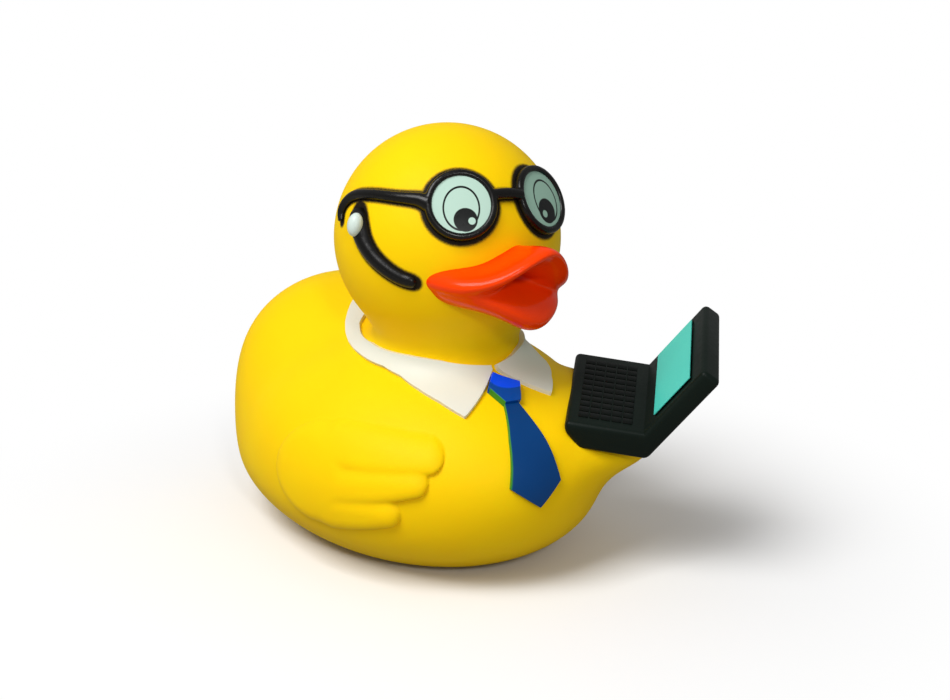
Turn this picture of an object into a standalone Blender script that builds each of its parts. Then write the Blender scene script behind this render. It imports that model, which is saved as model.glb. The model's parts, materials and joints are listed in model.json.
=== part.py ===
"""A squeaking vinyl duck at its desk: one hollow casting, with the squeaker pressed into its base.

The bill, glasses, headset, shirt collar, tie, wing and open laptop are raised forms of the same casting.
The duck faces -Y, its left side is +X, and +Z is up. The origin lies on the flat base, straight below
the centre of the head. Lengths are in metres, and angles in degrees. A bearing is measured from the
duck's front toward its right, and a pitch from the level upward.
"""
import math

import bmesh
import bpy
import numpy as np
from mathutils import Euler, Matrix, Vector

MM = 0.001

# Main form, as rounded lumps that flow into one another
HEAD_RADIUS = 21.8 * MM
HEAD_HEIGHT = 62.2 * MM
NECK_RADIUS = 13.2 * MM
NECK_HEIGHT = 41.7 * MM
NECK_LENGTH = 26.0 * MM
NECK_BLEND = 5.0 * MM
BODY_SIZE = (66.0 * MM, 90.0 * MM, 46.0 * MM)
BODY_PLACE = (0.0, 11.0 * MM, 19.7 * MM)
BELLY_SIZE = (63.5 * MM, 88.0 * MM, 31.0 * MM)
BELLY_PLACE = (0.0, 14.0 * MM, 13.8 * MM)
BELLY_BLEND = 6.0 * MM
TAIL_SIZE = (42.0 * MM, 34.0 * MM, 32.0 * MM)
TAIL_PLACE = (0.0, 40.0 * MM, 30.2 * MM)
TAIL_BLEND = 14.0 * MM
ARM_SIZE = (26.0 * MM, 24.0 * MM, 11.0 * MM)
ARM_PLACE = (16.0 * MM, -23.0 * MM, 24.2 * MM)
ARM_TURN = -35.0
ARM_BLEND = 7.0 * MM
HAND_SIZE = (8.4 * MM, 22.0 * MM, 8.0 * MM)
HAND_PLACE = (12.6 * MM, -1.5 * MM, -4.5 * MM)
HAND_BLEND = 5.0 * MM
BASE_ROUND = 2.0 * MM
BASE_TRIM = 0.1 * MM
RAY_HEIGHT = 37.2 * MM
RAY_REACH = 90.0 * MM
RAY_STEPS = 32
WALL = 2.2 * MM
SKIN_SUBDIVISIONS = 6
SKIN_FACES = 4500
CAVITY_SUBDIVISIONS = 5
CAVITY_FACES = 800

# Right wing: a palm as (bearing, height, half length in degrees, half height), and three feathers as
# (root bearing, root height, tip bearing, tip height, half width)
WING_PALM = (89.0, 20.8 * MM, 17.6, 9.6 * MM)
WING_FEATHERS = (
    (81.0, 27.0 * MM, 40.6, 27.7 * MM, 2.8 * MM),
    (75.0, 20.0 * MM, 45.5, 22.0 * MM, 3.1 * MM),
    (80.0, 14.8 * MM, 56.0, 15.1 * MM, 3.3 * MM),
)
WING_ROOT = 100.0
WING_TIP = 45.0
WING_RAISES = (2.0 * MM, 1.1 * MM)
WING_EDGE = 2.6 * MM
WING_DEGREE = 0.53 * MM

# The face's forms sit on a head that leans a little to its left
FACE_LEAN = 4.3
FACE_TURN = -1.6

# Bill: an upper and a lower lip, as tilted plates with round edges that close toward the mouth's corners;
# each pair gives a value at the closed corners and one at the mouth's middle
BILL_PLACE = (0.0, -15.0 * MM, -4.2 * MM)
BILL_BACK = 7.4 * MM
BILL_BACK_MOST = 8.4 * MM
BILL_BACK_CURVE = 0.6
BILL_POWER = 7.0
BILL_FACES = 1700
LIP_POWER = 2.2
UPPER_LIP_HALF_WIDTH = 14.0 * MM
UPPER_LIP_REACH = 15.6 * MM
UPPER_LIP_TILT = (1.0, 28.5)
UPPER_LIP_ABOVE = (3.5 * MM, 3.7 * MM)
UPPER_LIP_UNDER = (2.6 * MM, 1.5 * MM)
LOWER_LIP_HALF_WIDTH = 13.0 * MM
LOWER_LIP_REACH = 12.9 * MM
LOWER_LIP_TILT = (-7.0, -23.5)
LOWER_LIP_ABOVE = (2.2 * MM, 1.4 * MM)
LOWER_LIP_UNDER = (4.6 * MM, 4.4 * MM)
MOUTH_BEARING = -8.0
MOUTH_HALF = 82.0
MOUTH_SHARPNESS = 1.8
MOUTH_SLANT = 9.0

# Glasses: each lens has its bearing, its pitch and the bearing that it faces
LENS_RIGHT = (27.1, 26.2, 27.1)
LENS_LEFT = (-26.8, 27.0, -20.0)
LENS_RADIUS = 5.35 * MM
LENS_LIFT = 0.6 * MM
RING_WIDTH = 1.3 * MM
RING_LIFT = 0.95 * MM
RING_EDGE = 0.45 * MM
RING_STEPS = 28
RING_DEPTH = 3.0 * MM
BRIDGE_PITCH = 32.0
BRIDGE_HALF = 16.0
BRIDGE_RADIUS = 1.05 * MM
BRIDGE_LIFT = 0.7 * MM
TEMPLE_PATH = (
    (41.0, 25.5), (50.0, 27.1), (61.0, 26.9), (78.0, 26.0), (92.0, 23.4), (99.1, 19.0), (101.7, 13.8),
    (99.9, 8.6),
)
TEMPLE_RADIUS = (2.1 * MM, 1.35 * MM, 1.1 * MM, 1.0 * MM, 1.0 * MM, 0.95 * MM, 0.9 * MM, 0.6 * MM)
TEMPLE_LIFT = 0.25 * MM

# Headset, on the right side only
BOOM_PATH = (
    (86.0, 17.4), (84.6, 14.3), (81.6, 9.2), (76.9, 2.5), (70.8, -3.4), (63.4, -8.2), (55.7, -11.7),
    (49.4, -13.1), (47.4, -13.4),
)
BOOM_RADIUS = (
    1.3 * MM, 2.0 * MM, 2.1 * MM, 1.85 * MM, 1.65 * MM, 1.5 * MM, 1.4 * MM, 1.25 * MM, 0.6 * MM
)
BOOM_LIFT = -0.35 * MM
BUTTON_BEARING = 87.0
BUTTON_PITCH = 10.2
BUTTON_LIFT = 1.1 * MM
BUTTON_SIZE = (3.0 * MM, 4.4 * MM, 2.8 * MM)
TUBE_SIDES = 2
PATH_STEPS = 2

# Shirt collar: (bearing, pitch of the neck edge, pitch of the free edge), front to back on each side
COLLAR_RIGHT = (
    (2.5, 42.4, 40.0), (27.0, 44.8, 17.6), (39.0, 46.1, 25.0), (51.0, 46.6, 30.7), (66.0, 46.8, 36.6),
    (82.0, 46.5, 39.1), (109.0, 45.8, 38.4), (124.5, 43.9, 37.2), (140.0, 41.5, 35.7), (150.0, 39.8, 35.2),
    (180.0, 39.4, 35.6),
)
COLLAR_LEFT = (
    (2.5, 42.4, 40.0), (24.5, 44.6, 18.8), (37.0, 46.0, 25.6), (51.0, 46.6, 30.7), (66.0, 46.8, 36.6),
    (82.0, 46.5, 39.1), (109.0, 45.8, 38.4), (124.5, 43.9, 37.2), (140.0, 41.5, 35.7), (150.0, 39.8, 35.2),
    (180.0, 39.4, 35.6),
)
COLLAR_RAISE = 0.8 * MM
COLLAR_COLUMNS = 54
COLLAR_ROWS = 2
PLATE_SINK = 1.2 * MM
PLATE_RAY_HEIGHT = 26.2 * MM

# Tie: the edges of its knot and blade as (bearing, pitch), from top to foot
KNOT_RIGHT = ((5.0, 38.3), (11.5, 30.3), (6.3, 21.4))
KNOT_LEFT = ((-9.3, 29.8), (-6.0, 25.6), (-2.4, 21.3))
KNOT_RAISE = 1.5 * MM
TIE_RIGHT = ((6.0, 24.0), (10.5, 8.5), (13.2, -5.9))
TIE_LEFT = ((-0.6, 24.0), (-2.0, 8.5), (-3.1, -5.6))
TIE_TIP = (5.1, -12.7)
TIE_RAISE = 0.9 * MM

# Laptop: its frame has X toward the user, Y along the hinge toward the right, and Z out of the keyboard
LAPTOP_PLACE = (24.7 * MM, -31.1 * MM, 33.4 * MM)
LAPTOP_TURN = (-11.0, -7.5, 139.0)
LAPTOP_WIDTH = 28.0 * MM
LAPTOP_DEPTH = 14.6 * MM
LAPTOP_BASE = 5.5 * MM
LAPTOP_FRONT = 2.2 * MM
LAPTOP_CHAMFER = 3.2 * MM
LAPTOP_OPENING = 120.0
LID_HEIGHT = 17.2 * MM
LID_THICKNESS = 4.7 * MM
LAPTOP_EDGE = 1.0 * MM
KEY_ROWS = 5
KEY_COLUMNS = 11
KEY_PITCH = 2.07 * MM
KEY_SIZE = 1.75 * MM
KEY_RAISE = 0.35 * MM
KEY_FIELD_PLACE = 7.3 * MM
SCREEN_SIZE = (23.6 * MM, 10.4 * MM)
SCREEN_PLACE = 8.5 * MM
SCREEN_DEPTH = 0.4 * MM

# Squeaker in the base
CLEARANCE = 0.3 * MM
SQUEAKER_PLACE = 16.0 * MM
SQUEAKER_RISE = 0.4 * MM
FLANGE_RADIUS = 8.0 * MM
FLANGE_HEIGHT = 1.2 * MM
BARREL_RADIUS = 6.2 * MM
BARREL_HEIGHT = 10.5 * MM
BEAD_HEIGHT = 1.2 * MM
BEAD_WIDTH = 0.7 * MM
BORE_RADIUS = 4.4 * MM
MOUTH_RADIUS = 2.8 * MM
BOSS_HEIGHT = 5.0 * MM
BOSS_RIM = 3.2 * MM
SEAT_HEIGHT = 6.4 * MM
SEAT_FLAT = 0.4 * MM
SEAT_FOOT = 1.4 * MM
CHANNEL_WIDTH = 2.4 * MM
CHANNEL_DEPTH = 1.8 * MM
REED_THICKNESS = 0.3 * MM
REED_WIDTH = 4.2 * MM
TURN_STEPS = 28


def clear_scene():
    """Remove every object."""
    for item in list(bpy.data.objects):
        bpy.data.objects.remove(item, do_unlink=True)


def collection(name):
    """A new collection in the scene."""
    group = bpy.data.collections.new(name)
    bpy.context.scene.collection.children.link(group)
    return group


def material(name, colour, roughness):
    """A plain Principled material."""
    paint = bpy.data.materials.new(name)
    paint.use_nodes = True
    shader = paint.node_tree.nodes["Principled BSDF"]
    shader.inputs["Base Color"].default_value = (*colour, 1.0)
    shader.inputs["Roughness"].default_value = roughness
    return paint


def new_object(name, mesh, group, paint=None):
    """An object for a mesh, or for a bmesh, which it frees."""
    if isinstance(mesh, bmesh.types.BMesh):
        source, mesh = mesh, bpy.data.meshes.new(name)
        source.to_mesh(mesh)
        source.free()
    item = bpy.data.objects.new(name, mesh)
    group.objects.link(item)
    if paint:
        mesh.materials.append(paint)
    return item


def as_guide(item):
    """Mark an object that only shapes another."""
    item.hide_render = True
    item.display_type = "WIRE"
    return item


def combine(item, operation, operand):
    """Join an object or a whole collection to an item, or cut it away."""
    step = item.modifiers.new(operation.title(), "BOOLEAN")
    step.operation = operation
    step.solver = "EXACT"
    if isinstance(operand, bpy.types.Collection):
        step.operand_type = "COLLECTION"
        step.collection = operand
    else:
        step.object = operand


def decimated(bm, faces):
    """The same surface with about as many triangles as asked."""
    mesh = bpy.data.meshes.new("fine")
    bm.to_mesh(mesh)
    bm.free()
    item = bpy.data.objects.new("fine", mesh)
    bpy.context.scene.collection.objects.link(item)
    step = item.modifiers.new("Decimate", "DECIMATE")
    step.ratio = min(1.0, faces / len(mesh.polygons))
    graph = bpy.context.evaluated_depsgraph_get()
    result = bmesh.new()
    result.from_mesh(item.evaluated_get(graph).to_mesh())
    bpy.data.objects.remove(item, do_unlink=True)
    return result


def heading(bearing, pitch):
    """Unit vectors for bearings and pitches in degrees."""
    bearing, pitch = np.radians(bearing), np.radians(pitch)
    level = np.cos(pitch)
    return np.stack([-np.sin(bearing) * level, -np.cos(bearing) * level, np.sin(pitch)], axis=-1)


def ellipsoid(points, centre, size, rotation=None):
    """Signed distance, nearly, from points to an ellipsoid, which a 3 by 3 rotation may turn."""
    local = points - np.array(centre)
    if rotation is not None:
        local = local @ rotation
    radii = np.array(size) / 2
    scaled = np.linalg.norm(local / radii, axis=1)
    slope = np.linalg.norm(local / radii**2, axis=1) + 1e-9
    return scaled * (scaled - 1) / slope


def blend(first, second, reach):
    """The nearer of two distances, with a round fillet where they are alike."""
    share = np.clip(0.5 + 0.5 * (second - first) / reach, 0, 1)
    return second + (first - second) * share - reach * share * (1 - share)


def laptop_frame():
    """Where the laptop's hinge lies, and how it is turned."""
    turn = Euler([math.radians(angle) for angle in LAPTOP_TURN], "XYZ")
    return Matrix.Translation(LAPTOP_PLACE) @ turn.to_matrix().to_4x4()


def main_form(points):
    """Signed distance, nearly, from points to the duck without its raised forms."""
    head = np.linalg.norm(points - np.array([0, 0, HEAD_HEIGHT]), axis=1) - HEAD_RADIUS
    neck_size = (2 * NECK_RADIUS, 2 * NECK_RADIUS, 2 * NECK_LENGTH)
    neck = ellipsoid(points, (0, 0, NECK_HEIGHT), neck_size)
    belly = ellipsoid(points, BELLY_PLACE, BELLY_SIZE)
    body = blend(ellipsoid(points, BODY_PLACE, BODY_SIZE), belly, BELLY_BLEND)
    tail = ellipsoid(points, TAIL_PLACE, TAIL_SIZE)
    arm = ellipsoid(points, ARM_PLACE, ARM_SIZE, np.array(Matrix.Rotation(math.radians(ARM_TURN), 3, "Z")))
    laptop_at = laptop_frame()
    hand = ellipsoid(points, laptop_at @ Vector(HAND_PLACE), HAND_SIZE, np.array(laptop_at.to_3x3()))
    torso = blend(blend(body, tail, TAIL_BLEND), blend(arm, hand, HAND_BLEND), ARM_BLEND)
    whole = blend(blend(head, neck, NECK_BLEND), torso, NECK_BLEND)
    return -blend(-whole, points[:, 2] + BASE_TRIM, BASE_ROUND)


def ray_lengths(directions, depth=0.0, height=RAY_HEIGHT):
    """How far each ray from a point on the neck's axis goes before it is only the depth below the skin."""
    start = np.array([0, 0, height])
    near = np.zeros(len(directions))
    far = np.full(len(directions), RAY_REACH)
    for _ in range(RAY_STEPS):
        middle = (near + far) / 2
        outside = main_form(start + directions * middle[:, None]) > -depth
        far = np.where(outside, middle, far)
        near = np.where(outside, near, middle)
    return far


def on_skin(bearing, pitch, depth):
    """Points at a depth below the main form's skin, along rays from the middle of the chest."""
    directions = heading(bearing, pitch)
    lengths = ray_lengths(directions, depth, PLATE_RAY_HEIGHT)
    return np.array([0, 0, PLATE_RAY_HEIGHT]) + directions * lengths[:, None]


def face_turn():
    """The rotation from the face's own frame to the duck's."""
    turn = Euler((0.0, math.radians(FACE_LEAN), math.radians(FACE_TURN)), "XYZ")
    return np.array(turn.to_matrix())


def from_face(offsets):
    """Points from their offsets to the head's centre in the face's own frame."""
    return np.array([0, 0, HEAD_HEIGHT]) + np.asarray(offsets) @ face_turn().T


def on_head(bearing, pitch, lift=0.0):
    """Points on the head's sphere, or lifted off it, by bearing and pitch on the face."""
    return from_face(heading(bearing, pitch) * (HEAD_RADIUS + lift))


def square_on_head(item, bearing, pitch, facing=None, lift=0.0):
    """Place an item on the head with its Z axis pointing straight out, or out at the bearing that it faces."""
    facing = bearing if facing is None else facing
    outward = Vector(on_head(facing, pitch, MM) - on_head(facing, pitch))
    item.location = on_head(bearing, pitch, lift)
    item.rotation_euler = outward.to_track_quat("Z", "Y").to_euler()
    return as_guide(item)


def wing_relief(points):
    """How far the right wing stands out of the skin at points on it: a rounded edge round one raised shape."""
    bearing = np.degrees(np.arctan2(-points[:, 0], -points[:, 1]))
    height = points[:, 2]
    palm_bearing, palm_height, half_length, half_height = WING_PALM
    inside = half_height * (1 - np.hypot((bearing - palm_bearing) / half_length, (height - palm_height) / half_height))
    for root_bearing, root_height, tip_bearing, tip_height, half_width in WING_FEATHERS:
        line = np.array([(tip_bearing - root_bearing) * WING_DEGREE, tip_height - root_height])
        away = np.stack([(bearing - root_bearing) * WING_DEGREE, height - root_height], axis=1)
        along = np.clip(away @ line / (line @ line), 0, 1)
        inside = np.maximum(inside, half_width - np.linalg.norm(away - along[:, None] * line, axis=1))
    steepness = 1 - np.clip(inside / WING_EDGE, 0, 1)
    return np.interp(bearing, (WING_TIP, WING_ROOT), WING_RAISES) * np.sqrt(1 - steepness**2)


def sphere_rays(subdivisions):
    """A unit icosphere and its points, as rays."""
    bm = bmesh.new()
    bmesh.ops.create_icosphere(bm, subdivisions=subdivisions, radius=1.0)
    rays = np.array([vert.co for vert in bm.verts])
    return bm, rays / np.linalg.norm(rays, axis=1)[:, None]


def move_points(bm, points):
    """Put the vertices at the points."""
    for vert, point in zip(bm.verts, points):
        vert.co = Vector(point)


def skin(group, paint):
    """The outer skin with the wing's relief, cut flat along the base."""
    bm, rays = sphere_rays(SKIN_SUBDIVISIONS)
    lengths = ray_lengths(rays)
    start = np.array([0, 0, RAY_HEIGHT])
    lengths += wing_relief(start + rays * lengths[:, None])
    move_points(bm, start + rays * lengths[:, None])
    bm = decimated(bm, SKIN_FACES)
    everything = bm.verts[:] + bm.edges[:] + bm.faces[:]
    bmesh.ops.bisect_plane(bm, geom=everything, plane_co=(0, 0, 0), plane_no=(0, 0, 1), clear_inner=True)
    bmesh.ops.holes_fill(bm, edges=[edge for edge in bm.edges if edge.is_boundary])
    return new_object("duck_body", bm, group, paint)


def cavity(group):
    """The hollow inside, one wall's thickness below the skin."""
    bm, rays = sphere_rays(CAVITY_SUBDIVISIONS)
    move_points(bm, np.array([0, 0, RAY_HEIGHT]) + rays * ray_lengths(rays, WALL)[:, None])
    return as_guide(new_object("cavity", decimated(bm, CAVITY_FACES), group))


def lip_reach(pitch, reach, tilt, above, under):
    """How far a tilted plate with a round edge goes along rays of a given pitch."""
    off = np.sin(np.radians(pitch - tilt))
    across = np.abs(off) / np.where(off > 0, above, under)
    return ((1 / reach) ** LIP_POWER + across**LIP_POWER) ** (-1 / LIP_POWER)


def bill_reach(rays):
    """How far the bill goes along rays from its centre: two lips round the back of the mouth."""
    bearing = np.degrees(np.arctan2(-rays[:, 0], -rays[:, 1]))
    pitch = np.degrees(np.arcsin(np.clip(rays[:, 2], -1, 1)))
    sideways, forward = np.sin(np.radians(bearing)), np.cos(np.radians(bearing))
    share = np.clip(1 - np.abs(bearing - MOUTH_BEARING) / MOUTH_HALF, 0, 1)
    opening = (share**2 * (3 - 2 * share)) ** MOUTH_SHARPNESS
    back = BILL_BACK / np.maximum(-rays[:, 1], 0.01) ** BILL_BACK_CURVE
    total = np.minimum(back, BILL_BACK_MOST) ** BILL_POWER
    for half_width, front, tilts, above, under in (
        (UPPER_LIP_HALF_WIDTH, UPPER_LIP_REACH, UPPER_LIP_TILT, UPPER_LIP_ABOVE, UPPER_LIP_UNDER),
        (LOWER_LIP_HALF_WIDTH, LOWER_LIP_REACH, LOWER_LIP_TILT, LOWER_LIP_ABOVE, LOWER_LIP_UNDER),
    ):
        tilt, over, below = (pair[0] + (pair[1] - pair[0]) * opening for pair in (tilts, above, under))
        tilt = tilt - MOUTH_SLANT * (1 - sideways) / 2
        reach = 1 / np.hypot(sideways / half_width, forward / front) / np.cos(np.radians(tilt))
        total += lip_reach(pitch, reach, tilt, over, below) ** BILL_POWER
    return total ** (1 / BILL_POWER)


def bill(group):
    """The bill, open at the front."""
    bm, rays = sphere_rays(SKIN_SUBDIVISIONS)
    move_points(bm, from_face(np.array(BILL_PLACE) + rays * bill_reach(rays)[:, None]))
    return as_guide(new_object("bill", decimated(bm, BILL_FACES), group))


def turned(name, profile, steps, group, paint=None):
    """A solid turned about Z from a profile of (radius, height) that starts and ends on the axis."""
    bm = bmesh.new()
    line = [bm.verts.new((radius, 0, height)) for radius, height in profile]
    for first, second in zip(line, line[1:]):
        bm.edges.new((first, second))
    item = new_object(name, bm, group, paint)
    screw = item.modifiers.new("Screw", "SCREW")
    screw.steps = screw.render_steps = steps
    screw.use_merge_vertices = True
    screw.merge_threshold = 0.00001
    return item


def lens(bearing, pitch, facing, group):
    """A round lens in its raised ring on the face."""
    outer = LENS_RADIUS + RING_WIDTH
    profile = (
        (0, LENS_LIFT), (LENS_RADIUS, LENS_LIFT), (LENS_RADIUS + RING_EDGE * 0.6, RING_LIFT),
        (outer - RING_EDGE * 1.2, RING_LIFT), (outer - RING_EDGE * 0.3, RING_LIFT - RING_EDGE * 0.5),
        (outer, RING_LIFT - RING_EDGE * 1.5), (outer, -RING_DEPTH), (0, -RING_DEPTH),
    )
    item = turned("lens", profile, RING_STEPS, group)
    return square_on_head(item, bearing, pitch, facing)


def smooth_path(knots, steps):
    """A Catmull-Rom curve through rows of numbers."""
    knots = np.array(knots, dtype=float)
    padded = np.vstack([2 * knots[0] - knots[1], knots, 2 * knots[-1] - knots[-2]])
    rows = []
    for a, b, c, d in zip(padded, padded[1:], padded[2:], padded[3:]):
        for t in np.arange(steps) / steps:
            rows.append(b + 0.5 * t * (c - a + t * (2 * a - 5 * b + 4 * c - d + t * (3 * (b - c) + d - a))))
    rows.append(knots[-1])
    return np.array(rows)


def tube(name, points, radii, group):
    """A round bar along points, with its own radius at each."""
    curve = bpy.data.curves.new(name, "CURVE")
    curve.dimensions = "3D"
    curve.bevel_depth = MM
    curve.bevel_resolution = TUBE_SIDES
    curve.use_fill_caps = True
    spline = curve.splines.new("POLY")
    spline.points.add(len(points) - 1)
    for knot, point, radius in zip(spline.points, points, radii):
        knot.co = (*point, 1.0)
        knot.radius = radius / MM
    source = bpy.data.objects.new(name + "_line", curve)
    group.objects.link(source)
    graph = bpy.context.evaluated_depsgraph_get()
    mesh = bpy.data.meshes.new_from_object(source.evaluated_get(graph))
    bm = bmesh.new()
    bm.from_mesh(mesh)
    bmesh.ops.remove_doubles(bm, verts=bm.verts, dist=0.00001)
    bmesh.ops.recalc_face_normals(bm, faces=bm.faces)
    item = new_object(name, bm, group)
    item.matrix_world = source.matrix_world
    bpy.data.objects.remove(source, do_unlink=True)
    return as_guide(item)


def head_bar(name, path, radii, lift, side, group):
    """A bar that lies along the head, through (bearing, pitch) knots."""
    knots = [(side * bearing, pitch, radius) for (bearing, pitch), radius in zip(path, radii)]
    rows = smooth_path(knots, PATH_STEPS)
    return tube(name, on_head(rows[:, 0], rows[:, 1], lift), rows[:, 2], group)


def glasses(group):
    """Two lenses, the bridge and both temples."""
    for side, (bearing, pitch, facing) in ((1, LENS_RIGHT), (-1, LENS_LEFT)):
        lens(bearing, pitch, facing, group)
        head_bar("temple", TEMPLE_PATH, TEMPLE_RADIUS, TEMPLE_LIFT, side, group)
    span = ((-BRIDGE_HALF, BRIDGE_PITCH), (0.0, BRIDGE_PITCH), (BRIDGE_HALF, BRIDGE_PITCH))
    head_bar("bridge", span, (BRIDGE_RADIUS,) * len(span), BRIDGE_LIFT, 1, group)


def headset(group):
    """The ear button and the microphone's boom."""
    head_bar("boom", BOOM_PATH, BOOM_RADIUS, BOOM_LIFT, 1, group)
    bm = bmesh.new()
    bmesh.ops.create_uvsphere(bm, u_segments=16, v_segments=10, radius=0.5)
    bmesh.ops.scale(bm, verts=bm.verts, vec=BUTTON_SIZE)
    square_on_head(new_object("ear_button", bm, group), BUTTON_BEARING, BUTTON_PITCH, lift=BUTTON_LIFT)


def raised_plate(name, columns, rows, place, height, group):
    """A plate that follows the skin; place turns grid shares (0 to 1 each way) into bearings and pitches."""
    bm = bmesh.new()
    bmesh.ops.create_grid(bm, x_segments=columns, y_segments=rows, size=0.5)
    shares = np.array([vert.co for vert in bm.verts]) + 0.5
    bearing, pitch = place(shares[:, 0], shares[:, 1])
    move_points(bm, on_skin(bearing, pitch, PLATE_SINK))
    bm.normal_update()
    bm.faces.ensure_lookup_table()
    face = bm.faces[len(bm.faces) // 2]
    if face.normal.dot(face.calc_center_median() - Vector((0, 0, PLATE_RAY_HEIGHT))) < 0:
        bmesh.ops.reverse_faces(bm, faces=bm.faces)
    item = new_object(name, bm, group)
    shell = item.modifiers.new("Solidify", "SOLIDIFY")
    shell.thickness = PLATE_SINK + height
    shell.offset = 1.0
    return as_guide(item)


def collar(group):
    """The shirt collar: a band round the neck that widens into two points at the front."""
    right, left = np.array(COLLAR_RIGHT).T, np.array(COLLAR_LEFT).T
    first = right[0, 0]

    def edge(bearing, row):
        on_right = np.interp(bearing, right[0], right[row])
        return np.where(bearing <= 180, on_right, np.interp(360 - bearing, left[0], left[row]))

    def place(along, down):
        bearing = first + along * (360 - 2 * first)
        top, bottom = edge(bearing, 1), edge(bearing, 2)
        return bearing, top + (bottom - top) * down

    raised_plate("collar", COLLAR_COLUMNS, COLLAR_ROWS, place, COLLAR_RAISE, group)


def between(left, right, across, down):
    """Bearings and pitches between two edges that run from top to foot."""
    shares = np.linspace(0, 1, len(left))
    rows = [np.stack([np.interp(down, shares, column) for column in np.array(edge).T]) for edge in (left, right)]
    return rows[0] + (rows[1] - rows[0]) * across


def tie(group):
    """The tie's pointed blade and the knot over its top."""

    def blade(across, down):
        foot = (np.array(TIE_LEFT[-1]) + np.array(TIE_RIGHT[-1])) / 2
        point = (np.array(TIE_TIP) - foot)[:, None] * down * (1 - np.abs(2 * across - 1))
        return between(TIE_LEFT, TIE_RIGHT, across, down) + point

    def knot(across, down):
        return between(KNOT_LEFT, KNOT_RIGHT, across, down)

    raised_plate("tie", 4, 9, blade, TIE_RAISE, group)
    raised_plate("knot", 4, 6, knot, KNOT_RAISE, group)


def box(name, size, centre, group):
    """A box by its size and centre."""
    bm = bmesh.new()
    bmesh.ops.create_cube(bm, size=1.0)
    bmesh.ops.scale(bm, verts=bm.verts, vec=size)
    bmesh.ops.translate(bm, verts=bm.verts, vec=centre)
    return as_guide(new_object(name, bm, group))


def laptop_side():
    """The open laptop's side outline, as (toward the user, up from the keyboard)."""
    lid = np.array([math.cos(math.radians(LAPTOP_OPENING)), math.sin(math.radians(LAPTOP_OPENING))])
    back = np.array([-lid[1], lid[0]])
    top = lid * LID_HEIGHT
    top_back = top + back * LID_THICKNESS
    heel = top_back - lid * (top_back[1] + LAPTOP_BASE) / lid[1]
    front, chamfer = (LAPTOP_DEPTH, -LAPTOP_FRONT), (LAPTOP_DEPTH - LAPTOP_CHAMFER, -LAPTOP_BASE)
    return (0, 0), (LAPTOP_DEPTH, 0), front, chamfer, heel, top_back, top


def laptop(group, guides):
    """The open laptop: a base with raised keys, and a lid with a sunken screen."""
    frame = laptop_frame()
    bm = bmesh.new()
    side = [bm.verts.new((x, -LAPTOP_WIDTH / 2, z)) for x, z in laptop_side()]
    bm.faces.new(side)
    swept = bmesh.ops.extrude_face_region(bm, geom=bm.faces[:])
    moved = [vert for vert in swept["geom"] if isinstance(vert, bmesh.types.BMVert)]
    bmesh.ops.translate(bm, verts=moved, vec=(0, LAPTOP_WIDTH, 0))
    bmesh.ops.recalc_face_normals(bm, faces=bm.faces)
    item = as_guide(new_object("laptop", bm, group))
    item.matrix_world = frame
    edge = item.modifiers.new("Bevel", "BEVEL")
    edge.width = LAPTOP_EDGE
    edge.segments = 2
    edge.limit_method = "ANGLE"
    screen = box("screen", (SCREEN_SIZE[1], SCREEN_SIZE[0], 2 * SCREEN_DEPTH), (SCREEN_PLACE, 0, 0), guides)
    screen.matrix_world = frame @ Matrix.Rotation(-math.radians(LAPTOP_OPENING), 4, "Y")
    combine(item, "DIFFERENCE", screen)
    first_row = KEY_FIELD_PLACE - KEY_PITCH * (KEY_ROWS - 1) / 2
    first_column = -KEY_PITCH * (KEY_COLUMNS - 1) / 2
    keys = box("keys", (KEY_SIZE, KEY_SIZE, 2 * KEY_RAISE), (first_row, first_column, 0), guides)
    keys.matrix_world = frame
    for count, step in ((KEY_ROWS, (KEY_PITCH, 0, 0)), (KEY_COLUMNS, (0, KEY_PITCH, 0))):
        copies = keys.modifiers.new("Array", "ARRAY")
        copies.count = count
        copies.use_relative_offset = False
        copies.use_constant_offset = True
        copies.constant_offset_displace = step
    combine(item, "UNION", keys)


def squeaker_hole(item, guides):
    """A boss inside the base, with a hole and a recess for the squeaker's flange."""
    hole = BARREL_RADIUS + CLEARANCE
    recess = FLANGE_RADIUS + CLEARANCE
    recess_top = SQUEAKER_RISE + FLANGE_HEIGHT + CLEARANCE
    boss_radius = recess + BOSS_RIM
    boss_profile = ((0, BOSS_HEIGHT), (boss_radius, BOSS_HEIGHT), (boss_radius, WALL / 2), (0, WALL / 2))
    boss = turned("boss", boss_profile, TURN_STEPS, guides)
    top, below = BOSS_HEIGHT + WALL, -WALL
    profile = ((0, top), (hole, top), (hole, recess_top), (recess, recess_top), (recess, below), (0, below))
    cutter = turned("squeaker_hole", profile, TURN_STEPS, guides)
    for guide, operation in ((boss, "UNION"), (cutter, "DIFFERENCE")):
        guide.location.y = SQUEAKER_PLACE
        combine(item, operation, as_guide(guide))


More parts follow.
